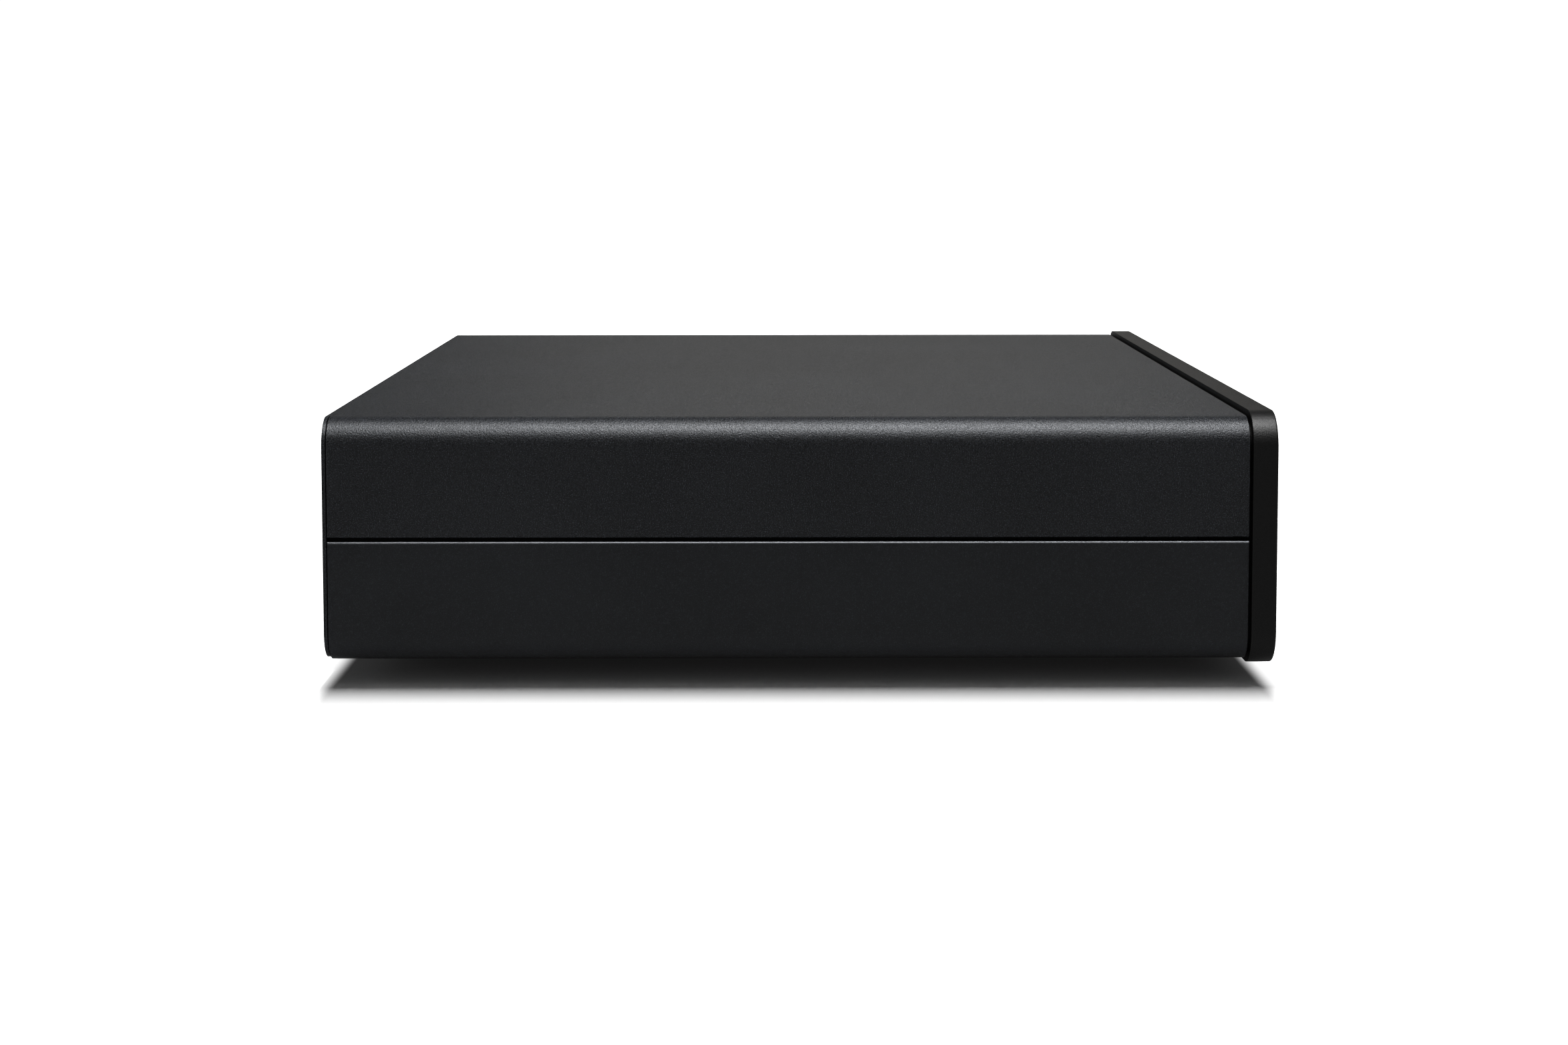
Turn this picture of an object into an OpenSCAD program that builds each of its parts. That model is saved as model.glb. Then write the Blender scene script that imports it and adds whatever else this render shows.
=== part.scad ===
// Compact network music streamer: a folded steel case with a thick front plate,
// five front buttons, a rear connector panel, and the boards and supply inside.
// Millimetres, +Z up. X = 0 is the middle of the width, the front faces -Y,
// Z = 0 is the surface under the feet, and Y = 0 is the middle of the overall depth.

/* [Front plate] */
// Width of the front plate
fascia_w = 215; // [205:1:260]
// Height of the front plate
fascia_h = 49; // [46:0.5:60]
// Thickness of the front plate
fascia_t = 4.8; // [4.6:0.1:7]
// Corner radius of the front plate
fascia_corner_r = 7; // [5:0.5:10]
// Rounding of the front plate's front edges
fascia_edge_r = 0.4; // [0.3:0.1:1.2]

/* [Case] */
// Length of the folded case, from its front edge to the rear edge of its sides
case_l = 175.7; // [165:0.5:230]
// How far each side of the case sits inside the front plate's edge
side_inset = 0.5; // [0.2:0.1:3]
// How far the case top and bottom sit inside the front plate's edge
top_inset = 1; // [0.2:0.1:3]
// Thickness of the folded steel
sheet_t = 1; // [0.8:0.1:1.5]
// Outside radius of the long bends
bend_r = 5.5; // [4:0.5:7]
// Height of the lower chassis walls
lower_wall_h = 23.5; // [16:0.1:32]
// Open seam between the lower walls and the cover
seam_gap = 0.7; // [0.3:0.1:1.5]
// Shadow gap between the front plate and the case
front_gap = 0.6; // [0.3:0.1:1.5]
// Gap between the case sides and the rear panel
rear_gap = 0.2; // [0.1:0.1:1]
// Thickness of the rear panel
rear_t = 0.7; // [0.6:0.1:1.2]
// How far the rear panel's lower edge sits above the case bottom
panel_lift = 0.4; // [0.2:0.1:0.8]
// Depth of the rear panel's bottom flange
rear_flange_l = 9; // [7:0.5:11]
// Overlap of a joining strip on each side of the seam
strip_lap = 7; // [4:0.5:10]
// Thickness of the joining strips
strip_t = 1; // [0.8:0.1:1.5]
// Depth of the front subpanel's folded flanges
sub_flange_l = 10; // [8:0.5:12]

/* [Cover fixings] */
// Sideways distance of the outer cover tabs from the middle
tab_x = 72; // [60:1:84]
// Width of a cover tab
tab_w = 12; // [9:0.5:16]
// Height of a cover tab
tab_h = 9; // [7:0.5:12]
// Sideways distance of the front cover hooks from the middle
hook_x = 60; // [40:1:80]
// Reach of a front cover hook under the subpanel flange
hook_reach = 5; // [3:0.5:7]

/* [Underside] */
// Height of the feet below the case
foot_h = 3.5; // [3:0.1:8]
// Radius of a foot
foot_r = 9; // [7:0.5:11]
// Distance from the case side to a foot's centre
foot_inset_x = 37; // [14:0.5:44]
// Distance from the case end to a foot's centre
foot_inset_y = 22; // [20:0.5:30]
// Length of a ventilation slot
vent_l = 34; // [20:1:40]
// Width of a ventilation slot
vent_w = 3; // [2:0.5:4]
// Spacing of the ventilation slots
vent_pitch = 9; // [7:0.5:12]
// Number of ventilation slots
vent_count = 9; // [4:1:10]

/* [Controls] */
// Radius of the power button
power_r = 4.5; // [3:0.1:6]
// Distance from the front plate's left edge to the power button
power_inset = 18; // [14:0.5:24]
// Radius of a preset button
preset_r = 3.6; // [2.6:0.1:4.5]
// Spacing of the preset buttons
preset_pitch = 15; // [13:0.5:18]
// Distance from the front plate's right edge to the last preset button
preset_inset = 18; // [14:0.5:24]
// How far a button stands out of the front plate
button_proud = 0.4; // [0.2:0.1:1.5]
// Rounding of a button's front edge
button_edge_r = 0.4; // [0.2:0.1:0.8]
// Travel of a button
button_travel = 0.5; // [0.2:0.1:0.6]
// Width of a button's retaining flange beyond its cap
button_flange_w = 1.2; // [0.8:0.1:1.6]
// Thickness of a button's retaining flange
button_flange_t = 1.2; // [0.8:0.1:1.4]
// Depth of the flange pocket in the back of the front plate
pocket_depth = 2.4; // [2.2:0.1:3]
// Radius of a button's stem
stem_r = 2; // [1.5:0.1:2.2]
// Distance from the power button to the status light
light_pitch = 15; // [11:0.5:22]
// Radius of the status light
light_r = 1.25; // [0.8:0.05:1.5]
// Radius of the light pipe's flange
light_flange_r = 2.2; // [1.9:0.1:3]
// Thickness of the light pipe's flange
light_flange_t = 1.2; // [0.8:0.1:1.6]

/* [Front board] */
// Gap between the front board's ends and the subpanel's side flanges
front_board_gap = 6.7; // [5.7:0.1:9.7]
// Height of the front board
front_board_h = 28; // [22:1:32]
// Length of the spacers between the subpanel and the front board
spacer_l = 6; // [5.8:0.1:8]
// Side of a push switch
switch_w = 6; // [5:0.5:8]
// Depth of a push switch body
switch_t = 3.5; // [3:0.1:4]
// Radius of a push switch plunger
plunger_r = 1.7; // [1.2:0.1:2]
// How far a plunger reaches into its switch
plunger_seat = 1.5; // [1:0.1:2]
// Size of the status light emitter
led_w = 3; // [2:0.1:4]
// Height of the status light emitter
led_h = 1.9; // [1:0.1:3]

/* [Boards] */
// Thickness of the circuit boards
board_t = 1.6; // [1:0.1:2]
// Height of the boards above the case floor
standoff_h = 6; // [5:0.5:8]
// Width of the power supply board
power_w = 54; // [52:1:58]
// Length of the main and power supply boards
board_l = 118; // [112:1:126]
// Gap between a board and the rear panel
board_rear_gap = 3; // [2:0.5:4]
// Gap between a board and the side of the case
board_side_gap = 2; // [1:0.5:3]
// Gap between the two boards
board_gap = 5; // [4:0.5:6]
// Distance from a board's side edge to its fixing holes
fix_inset_x = 6; // [5:0.5:7]
// Distance from a board's rear edge to its rear fixing holes
fix_inset_rear = 14; // [13:0.5:16]
// Distance from a board's front edge to its front fixing holes
fix_inset_front = 6; // [5:0.5:8]
// Thickness of the insulation sheet under the power supply
insulation_t = 0.4; // [0.2:0.1:0.8]
// Length of the network module board
module_l = 50; // [44:1:60]
// Distance from the rear edge of the main board to the network module
module_back = 45; // [40:1:52]
// Height of the network module above the main board
module_lift = 5; // [4:0.5:7]
// Thickness of the network module board
module_t = 1.2; // [0.8:0.1:1.6]
// Width of the module's shield can
shield_w = 44; // [36:1:50]
// Length of the module's shield can
shield_l = 32; // [26:1:36]
// Height of the module's shield can
shield_h = 3; // [2:0.2:4]
// Wall of the shield can
shield_t = 0.3; // [0.2:0.1:0.5]
// Height of the module's heatsink
sink_h = 9; // [6:0.5:12]
// Number of fins on the module's heatsink
sink_fins = 9; // [5:1:11]
// Base thickness of a heatsink
sink_base = 2; // [1.5:0.1:3]
// Fin thickness of a heatsink
fin_t = 1.2; // [0.8:0.1:1.6]

/* [Board parts] */
// Gap between neighbouring parts on a board
part_gap = 3; // [2:0.1:3.5]
// Radius of the mains fuse
fuse_r = 2.6; // [2.5:0.1:3.2]
// Length of the mains fuse
fuse_l = 20; // [18:1:24]
// Inside radius of the filter choke's ring
choke_in_r = 4; // [3:0.5:4.5]
// Outside radius of the filter choke's ring
choke_out_r = 9; // [8.5:0.5:10]
// Height of the filter choke
choke_h = 9; // [7:0.5:12]
// Radius of the bulk capacitor
bulk_r = 9; // [7:0.5:10]
// Height of the bulk capacitor
bulk_h = 25; // [18:1:30]
// Side of the transformer's core
core_w = 22; // [20:1:24]
// Height of the transformer's core
core_h = 18; // [16:1:22]
// Thickness of the transformer's yokes
core_yoke = 5; // [4:0.5:6]
// Radius of the transformer's winding
winding_r = 8; // [6.5:0.5:9]
// Height of the rectifier heatsink
rectifier_h = 24; // [18:1:28]
// Length of the rectifier heatsink
rectifier_l = 22; // [16:1:24]
// Reach of the rectifier heatsink's fins
rectifier_reach = 8; // [6:0.5:9]
// Number of fins on the rectifier heatsink
rectifier_fins = 5; // [3:1:7]
// Radius of an output capacitor
output_r = 4; // [3:0.5:4.5]
// Height of an output capacitor
output_h = 16; // [12:1:20]
// Radius of an audio capacitor
audio_r = 4; // [3:0.5:4.5]
// Height of an audio capacitor
audio_h = 12; // [8:1:16]
// Side of the control processor
processor_w = 14; // [10:1:16]
// Side of the audio converter
converter_w = 10; // [7:1:12]
// Side of an interface chip
receiver_w = 7; // [5:1:9]
// Height of the chips
chip_h = 1.2; // [0.8:0.1:1.6]

/* [Mains inlet] */
// Distance from the power board's left edge to the mains inlet
mains_offset = 24; // [20:0.5:28]
// Width of the mains inlet body
mains_w = 20; // [19:0.2:22]
// Height of the mains inlet body
mains_h = 13; // [12:0.2:15]
// Depth of the mains inlet body behind the rear panel
mains_d = 17; // [15.5:0.5:20]
// Width of the mains inlet's rim around its body
mains_rim = 2; // [1.5:0.1:2.4]
// Thickness of the mains inlet's rim
mains_rim_t = 1.4; // [1:0.1:2]
// Spacing of the mains pins
mains_pin_pitch = 8.6; // [8.4:0.1:8.8]
// Radius of a mains pin
mains_pin_r = 1.2; // [1.1:0.05:1.3]
// Radius of each lobe of the mains inlet's cavity
mains_lobe_r = 4.1; // [3.8:0.1:4.4]
// Height of the waist between the two lobes
mains_waist = 6.2; // [5.6:0.1:7]
// Depth of the mains inlet's cavity
mains_cavity = 13; // [11:0.5:14]
// Length of the mains pins inside the cavity
mains_pin_l = 9.5; // [8:0.5:10.5]

/* [Data connectors] */
// Distance from the main board's left edge to the USB socket
usb_offset = 19; // [18:0.5:20]
// Inside width of the USB socket
usb_w = 12.5; // [12.3:0.1:12.7]
// Inside height of the USB socket
usb_h = 5.1; // [5:0.1:5.3]
// Wall of the USB shell
usb_t = 0.4; // [0.3:0.1:0.5]
// Depth of the USB shell
usb_d = 14; // [13:0.5:16]
// How far the USB shell stands out of the rear panel
usb_proud = 0.5; // [0.2:0.1:1]
// Depth of the USB socket's moulded block
usb_block = 4; // [3:0.5:5]
// Width of the USB contact tongue
usb_tongue_w = 11.1; // [10.8:0.1:11.4]
// Thickness of the USB contact tongue
usb_tongue_t = 1.8; // [1.6:0.1:2]
// Length of the USB contact tongue
usb_tongue_l = 8.8; // [8:0.1:9.2]
// Distance from the main board's left edge to the Ethernet jack
ethernet_offset = 38; // [36.5:0.5:39.5]
// Width of the Ethernet jack
ethernet_w = 16; // [15.6:0.1:16.4]
// Height of the Ethernet jack
ethernet_h = 13.5; // [13:0.1:14]
// Depth of the Ethernet jack
ethernet_d = 18; // [16:0.5:20]
// How far the Ethernet jack stands out of the rear panel
ethernet_proud = 0.4; // [0.2:0.1:0.8]
// Width of the Ethernet plug's cavity
ethernet_bay_w = 11.8; // [11.7:0.1:12]
// Height of the Ethernet plug's cavity
ethernet_bay_h = 7; // [6.8:0.1:7.4]
// Depth of the Ethernet plug's cavity
ethernet_bay_d = 12; // [11:0.5:13]
// Height of the Ethernet cavity's floor in the jack
ethernet_bay_z = 4.6; // [4.4:0.1:5]
// Width of the latch slot under the Ethernet cavity
latch_w = 6.2; // [6:0.1:6.5]
// Width of the second step of the latch slot
latch_step_w = 4; // [3.4:0.1:4.4]
// Height of each step of the latch slot
latch_h = 1.5; // [1.2:0.1:1.6]
// Spacing of the eight Ethernet contacts
ethernet_pitch = 1.02; // [1:0.01:1.04]
// Width of an Ethernet contact
ethernet_contact_w = 0.45; // [0.35:0.05:0.5]
// Thickness of an Ethernet contact
ethernet_contact_t = 0.35; // [0.25:0.05:0.4]
// Length of an Ethernet contact
ethernet_contact_l = 7; // [6:0.5:8]
// How far an Ethernet contact springs down from the roof of the cavity
ethernet_contact_drop = 2.2; // [1.5:0.1:2.4]

/* [Optical output] */
// Distance from the main board's right edge to the optical socket
optical_offset = 71; // [69.5:0.5:72]
// Width of the optical socket
optical_w = 10.6; // [10.2:0.1:11]
// Height of the optical socket
optical_h = 10.8; // [10.4:0.1:11.4]
// Depth of the optical socket behind the rear panel
optical_d = 12; // [11.5:0.5:14]
// How far the optical socket stands out of the rear panel
optical_proud = 0.6; // [0.4:0.1:1]
// Width of the optical plug's cavity
optical_bay_w = 8.4; // [8.2:0.1:8.6]
// Height of the optical plug's cavity
optical_bay_h = 8.4; // [8.2:0.1:8.8]
// Depth of the optical plug's cavity
optical_bay_d = 10; // [9.6:0.1:11]
// Thickness of the optical shutter
shutter_t = 0.8; // [0.6:0.1:1]
// Clearance around the optical shutter
shutter_clear = 0.25; // [0.2:0.05:0.4]
// Setback of the shutter's pivot from the optical socket's face
shutter_back = 1.2; // [1:0.1:1.6]
// Radius of the shutter's pivot pins
pivot_r = 0.35; // [0.25:0.05:0.4]
// Length of the shutter's pivot pins
pivot_l = 0.6; // [0.4:0.05:0.7]

/* [Phono outputs] */
// Distance from the main board's right edge to the coaxial digital jack
coax_offset = 57; // [55.5:0.5:58]
// Distance from the main board's right edge to the right analogue jack
analogue_offset = 23; // [18.5:0.5:23]
// Spacing of the two analogue jacks
analogue_pitch = 18; // [16:0.5:18.5]
// How far the phono shells stand out of the rear panel
jack_reach = 8.6; // [8.2:0.1:10]
// Outside radius of a phono shell
jack_shell_r = 4.15; // [4.1:0.01:4.2]
// Wall of a phono shell
jack_shell_t = 0.6; // [0.4:0.05:0.7]
// How much wider a phono shell is where it seats in its body
jack_step = 0.45; // [0.3:0.05:0.6]
// How deep a phono shell seats behind the rear panel
jack_seat = 6; // [4:0.5:7]
// Radius of the coloured ring round a phono shell
jack_ring_r = 5.4; // [5.2:0.1:6]
// How far the coloured ring stands out of the rear panel
jack_ring_proud = 0.6; // [0.3:0.1:1]
// Side of a phono jack block
jack_block_w = 12; // [11.4:0.1:13]
// Depth of a phono jack block
jack_block_d = 10; // [9:0.5:11]
// Height of a phono jack block
jack_block_h = 14; // [13.2:0.2:15]
// Height of the phono jacks' axis above the main board
jack_axis_h = 7.6; // [7:0.1:8]
// Radius of the hole in a phono centre contact
jack_pin_r = 1.65; // [1.6:0.01:1.7]
// Wall of a phono centre contact
jack_contact_t = 0.4; // [0.3:0.05:0.5]

/* [Antenna sockets] */
// Distance from the main board's left edge to the left antenna socket
antenna_offset = 20; // [18:0.5:22]
// Spacing of the two antenna sockets
antenna_pitch = 64; // [58:1:70]
// Depth of the antenna sockets below the case top
antenna_drop = 10.5; // [9.5:0.5:12]
// Radius of an antenna socket's barrel
antenna_r = 3.15; // [3:0.05:3.3]
// How far an antenna socket stands out of the rear panel
antenna_reach = 8.2; // [7:0.1:8.6]
// Radius of an antenna socket's shoulder inside the panel
antenna_shoulder_r = 4.2; // [4:0.1:5]
// Length of an antenna socket's shoulder
antenna_shoulder_l = 3; // [2:0.5:4]
// Length of an antenna socket's crimp tail
antenna_tail_l = 6; // [4:0.5:8]
// Radius of an antenna socket's crimp tail
antenna_tail_r = 1.6; // [1.2:0.1:2]
// Radius of the mouth of an antenna socket
antenna_mouth_r = 2.3; // [2.2:0.05:2.4]
// Depth of the mouth of an antenna socket
antenna_mouth_d = 4.5; // [3:0.5:5]
// Radius of an antenna socket's centre post
antenna_post_r = 0.65; // [0.5:0.05:0.8]
// Radius across the corners of an antenna nut
antenna_nut_r = 4.6; // [4.4:0.1:5]
// Thickness of an antenna nut
antenna_nut_t = 2; // [1.6:0.1:2.4]
// Radius of an antenna lead
lead_r = 0.6; // [0.4:0.05:0.8]
// Bend radius of an antenna lead
lead_bend_r = 8; // [5:0.5:10]

/* [Wiring] */
// Width of the front ribbon cable
ribbon_w = 12; // [8:1:16]
// Thickness of the front ribbon cable
ribbon_t = 0.3; // [0.2:0.1:0.5]
// Bend radius of the front ribbon cable
ribbon_bend_r = 5; // [3:0.5:6]
// Distance from the main board's left edge to the ribbon cable
ribbon_offset = 60; // [40:1:80]
// Radius of a supply wire
wire_r = 0.8; // [0.5:0.1:1]
// Number of supply wires
wire_count = 4; // [2:1:6]
// Spacing of the supply wires
wire_pitch = 2.5; // [2:0.1:3]
// Straight rise of the supply wires out of their plugs
wire_rise = 4; // [2:0.5:8]
// Distance from the rear edge of the boards to the supply plugs
plug_back = 76; // [72:1:78]

/* [Screws] */
// Radius of a screw shank
screw_r = 1.5; // [1.2:0.05:1.6]
// Radius of a screw head
screw_head_r = 2.7; // [2.4:0.1:2.8]
// Height of a screw head
screw_head_h = 1.6; // [1:0.1:1.8]

/* [Fits] */
// Clearance of a screw in the piece that it clamps
screw_clear = 0.2; // [0.1:0.05:0.3]
// Clearance of a screw in its thread
thread_clear = 0.05; // [0.02:0.01:0.1]
// Clearance of a button in the front plate
button_clear = 0.2; // [0.1:0.05:0.3]
// Clearance in front of a button's flange at rest
stop_clear = 0.05; // [0.02:0.01:0.1]
// Running clearance of a plunger or pivot
run_clear = 0.1; // [0.05:0.01:0.15]
// Clearance between pieces that are pushed together
push_clear = 0.05; // [0.02:0.01:0.1]
// Clearance between folded sheets that slide past each other
fold_clear = 0.3; // [0.1:0.05:0.4]
// Clearance of a connector in its cut-out
cut_clear = 0.25; // [0.1:0.05:0.3]

/* [Hidden] */
$fn = 48;

// Case planes
case_w = fascia_w - 2 * side_inset;
case_h = fascia_h - 2 * top_inset;
case_bottom = foot_h;
case_top = case_bottom + case_h;
floor_top = case_bottom + sheet_t;
ceiling = case_top - sheet_t;
wall_top = case_bottom + lower_wall_h;
cover_edge = wall_top + seam_gap;
fascia_bottom = case_bottom - top_inset;
inner_half = case_w / 2 - sheet_t;
sheet_edge_r = sheet_t / 2;
inner_bend_r = bend_r - sheet_t;

// Depth planes, from the front face to the tips of the phono shells
body_d = fascia_t + front_gap + case_l + rear_gap + rear_t;
front_y = button_proud - (button_proud + body_d + jack_reach) / 2;
fascia_back = front_y + fascia_t;
sub_back = fascia_back + sheet_t;
sub_flange_end = fascia_back + sub_flange_l;
case_front = fascia_back + front_gap;
case_rear = case_front + case_l;
panel_in = case_rear + rear_gap;
panel_out = panel_in + rear_t;
flange_front = panel_in - rear_flange_l;
lap_half = case_w / 2 - bend_r;
sub_half = inner_half - fold_clear;
sub_top = ceiling - fold_clear;

// Front controls
control_z = fascia_bottom + fascia_h / 2;
power_x = power_inset - fascia_w / 2;
light_x = power_x + light_pitch;
preset_x = [for (i = [0:3]) fascia_w / 2 - preset_inset - (3 - i) * preset_pitch];
button_x = concat([power_x], preset_x);
button_r = [power_r, preset_r, preset_r, preset_r, preset_r];
front_board_w = 2 * (sub_half - sheet_t - front_board_gap);
front_board_y = sub_back + spacer_l;
front_board_back = front_board_y + board_t;
front_board_bottom = control_z - front_board_h / 2;
switch_face = front_board_y - switch_t;
plunger_proud = 1.5;
plunger_tip = switch_face - plunger_proud;
flange_face = fascia_back - pocket_depth + stop_clear;
spacer_inset = 5;
spacer_x = [-front_board_w / 2 + spacer_inset, front_board_w / 2 - spacer_inset];
spacer_z = [front_board_bottom + spacer_inset, front_board_bottom + front_board_h - spacer_inset];
fascia_screw_side = 20;
fascia_screw_x = [-hook_x - fascia_screw_side, 0, hook_x + fascia_screw_side];
fascia_screw_bite = 3.2;
fascia_screw_l = sheet_t + fascia_screw_bite;
fascia_screw_rise = 6;
fascia_screw_z = [floor_top + sheet_t + fascia_screw_rise, sub_top - sheet_t - fascia_screw_rise];

// Boards
board_bottom = floor_top + standoff_h;
board_top = board_bottom + board_t;
board_rear = panel_in - board_rear_gap;
board_front = board_rear - board_l;
inner_left = -inner_half + strip_t;
power_x0 = inner_left + board_side_gap;
power_x1 = power_x0 + power_w;
main_x0 = power_x1 + board_gap;
main_x1 = inner_half - strip_t - board_side_gap;
main_w = main_x1 - main_x0;
fix_y = [board_front + fix_inset_front, board_rear - fix_inset_rear];
fix_x = [power_x0 + fix_inset_x, power_x1 - fix_inset_x, main_x0 + fix_inset_x, main_x1 - fix_inset_x];
standoff_r = 3.2;
spigot_r = 2.1;
spigot_short = 0.1;
spigot_l = sheet_t - spigot_short;
board_screw_bite = 4;
board_screw_l = board_t + board_screw_bite;

// Fixings of the case
under_x = [-tab_x, 0, tab_x];
under_front_y = fascia_back + sub_flange_l / 2 + sheet_t;
under_rear_y = flange_front + rear_flange_l / 2;
under_y = [under_front_y, under_rear_y];
under_screw_bite = 3;
under_screw_l = sheet_t + under_screw_bite;
cover_screw_x = [-tab_x, 0, tab_x];
cover_screw_drop = 0.5;
cover_screw_z = ceiling - tab_h / 2 - cover_screw_drop;
cover_screw_bite = 2;
cover_screw_l = rear_t + sheet_t + cover_screw_bite;
foot_x = [-case_w / 2 + foot_inset_x, case_w / 2 - foot_inset_x];
foot_y = [case_front + foot_inset_y, case_rear - foot_inset_y];
foot_well = 0.9;
foot_screw_bite = 1.4;
foot_screw_l = foot_h - foot_well - screw_head_h + sheet_t + foot_screw_bite;

// Network module
antenna_x = [main_x0 + antenna_offset, main_x0 + antenna_offset + antenna_pitch];
antenna_z = case_top - antenna_drop;
module_x = (antenna_x[0] + antenna_x[1]) / 2;
module_side = 6;
module_w = antenna_pitch + 2 * module_side;
module_rear = board_rear - module_back;
module_front = module_rear - module_l;
module_bottom = board_top + module_lift;
module_top = module_bottom + module_t;
module_margin = 4;
shield_y = module_front + module_margin;
shield_top = module_top + shield_h;
aerial_plug_r = 1.6;
aerial_plug_h = 1.4;
aerial_plug_y = module_rear - module_margin;
lead_start = module_top + aerial_plug_h;
antenna_tail_end = panel_in - antenna_shoulder_l - antenna_tail_l;

// Rear connectors
mains_x = power_x0 + mains_offset;
mains_z = board_top + mains_h / 2;
mains_face = panel_out + mains_rim_t;
usb_x = main_x0 + usb_offset;
usb_face = panel_out + usb_proud;
ethernet_x = main_x0 + ethernet_offset;
ethernet_face = panel_out + ethernet_proud;
ethernet_floor = board_top + ethernet_bay_z;
optical_x = main_x1 - optical_offset;
optical_face = panel_out + optical_proud;
optical_floor = board_top + (optical_h - optical_bay_h) / 2;
shutter_half_t = shutter_t / 2;
shutter_axis_y = optical_face - shutter_back;
shutter_axis_z = optical_floor + optical_bay_h - shutter_half_t - shutter_clear - 0.1;
coax_x = main_x1 - coax_offset;
analogue_x = [main_x1 - analogue_offset - analogue_pitch, main_x1 - analogue_offset];
jack_x = concat([coax_x], analogue_x);
jack_z = board_top + jack_axis_h;
jack_bottom = panel_in - jack_seat;
jack_tip = panel_out + jack_reach;
jack_core_r = jack_shell_r - jack_shell_t - push_clear;
jack_core_back = 0.6;
jack_contact_back = 0.3;
jack_core_tip = jack_tip - jack_core_back;
jack_contact_tip = jack_core_tip - jack_contact_back;
jack_contact_r = jack_pin_r + jack_contact_t;
jack_ring_face = panel_out + jack_ring_proud;
jack_seat_r = jack_shell_r + jack_step;
groove_in = jack_core_r;
groove_out = jack_seat_r + push_clear;

// Parts on the power supply board, from the mains inlet forward
fuse_x = power_x0 + part_gap + fuse_r;
fuse_y = fix_y[1] - screw_head_r - part_gap - fuse_l;
choke_y = panel_out - mains_d - part_gap - choke_out_r;
bulk_x = power_x0 + part_gap + bulk_r;
bulk_y = min(fuse_y, choke_y - choke_out_r) - part_gap - bulk_r;
rectifier_x = power_x0 + part_gap;
rectifier_rear = bulk_y - bulk_r - part_gap;
core_x = rectifier_x + rectifier_reach + part_gap + core_w / 2;
core_y = bulk_y - bulk_r - part_gap - core_w / 2;
output_pitch = 2 * output_r + part_gap / 2;
output_y = core_y - core_w / 2 - part_gap - output_r;

// Parts on the main board, beside the network module
audio_pitch = 2 * audio_r + part_gap;
audio_x = analogue_x[0] + processor_w / 2 + part_gap + audio_r;
chip_rear = panel_in - jack_block_d - 6 * part_gap;
processor_y = module_front + module_l / 2;

// Wiring
ribbon_x = main_x0 + ribbon_offset;
ribbon_socket_side = 2;
ribbon_socket_d = 2.6;
ribbon_socket_h = 5;
ribbon_socket = [ribbon_w + 2 * ribbon_socket_side, ribbon_socket_d, ribbon_socket_h];
ribbon_socket_drop = 4;
ribbon_socket_z = control_z - ribbon_socket_drop;
ribbon_drop_y = front_board_back + ribbon_socket[1] / 2;
ribbon_z = board_top + ribbon_socket[1] / 2;
ribbon_inset = 1;
ribbon_end = board_front + ribbon_inset;
plug_w = 6;
plug_h = 8;
plug_x = [power_x1 - plug_w, main_x0 + plug_w];
plug_end = 0.5;
plug_l = wire_pitch * wire_count + 2 * plug_end;
plug_y = board_rear - plug_back;
wire_arch_r = (plug_x[1] - plug_x[0]) / 2;
wire_foot = board_top + plug_h;
wire_spring = wire_foot + wire_rise;

// Colours
steel_black = [0.13, 0.13, 0.14];
plate_black = [0.09, 0.09, 0.1];
zinc = [0.72, 0.73, 0.75];
nickel = [0.8, 0.8, 0.78];
gold = [0.83, 0.67, 0.3];
board_green = [0.08, 0.3, 0.17];
plastic_black = [0.06, 0.06, 0.065];
aluminium = [0.7, 0.71, 0.73];
rubber_black = [0.08, 0.08, 0.08];

// Draws a flat XZ outline from y0 back by a length
module along_y(y0, length) {
    translate([0, y0 + length, 0]) rotate([90, 0, 0]) linear_extrude(length) children();
}

// Draws a flat YZ outline from x0 to the right by a length
module along_x(x0, length) {
    translate([x0, 0, 0]) rotate([90, 0, 90]) linear_extrude(length) children();
}

// Turns a profile of radius and depth about an axis that points back along +Y
module turned_y(x, y, z) {
    translate([x, y, z]) rotate([-90, 0, 0]) rotate_extrude() children();
}

// Round bar along +Y
module bar_y(x, y, z, r, length) {
    translate([x, y, z]) rotate([-90, 0, 0]) cylinder(r = r, h = length);
}

// Rectangle with rounded corners, centred in x and standing on y = 0
module rounded_rect(w, h, r) {
    translate([-w / 2, r]) square([w, h - 2 * r]);
    translate([-w / 2 + r, 0]) square([w - 2 * r, h]);
    for (x = [r - w / 2, w / 2 - r], y = [r, h - r]) translate([x, y]) circle(r);
}

// Half outline of a soft edge, from the edge line outward over a thickness
module soft_edge(t, e) {
    intersection() {
        union() {
            translate([0, e]) square([e, t - e]);
            translate([0, e]) circle(e);
        }
        square([e, t]);
    }
}

// Upright plate with rounded corners and softened front edges
module soft_plate(w, h, t, r, e) {
    straight_w = w - 2 * r;
    straight_h = h - 2 * r;
    translate([0, 0, e]) along_y(0, t) rounded_rect(w - 2 * e, h - 2 * e, r - e);
    for (s = [0, 1]) {
        translate([0, 0, h / 2]) rotate([0, 180 * s, 0]) translate([-straight_w / 2, 0, h / 2 - e])
            along_x(0, straight_w) mirror([1, -1]) soft_edge(t, e);
        mirror([s, 0, 0]) translate([w / 2 - e, 0, r])
            linear_extrude(straight_h) soft_edge(t, e);
        for (z = [r, h - r]) mirror([s, 0, 0]) translate([w / 2 - r, 0, z])
            rotate([-90, 0, 0]) rotate([0, 0, z == r ? 0 : -90]) rotate_extrude(angle = 90)
                translate([r - e, 0]) soft_edge(t, e);
    }
}

// Pan-head screw with its shank up and its head below z = 0
module screw(length) {
    translate([0, 0, -screw_head_h]) cylinder(r = screw_head_r, h = screw_head_h);
    cylinder(r = screw_r, h = length);
}

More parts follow.
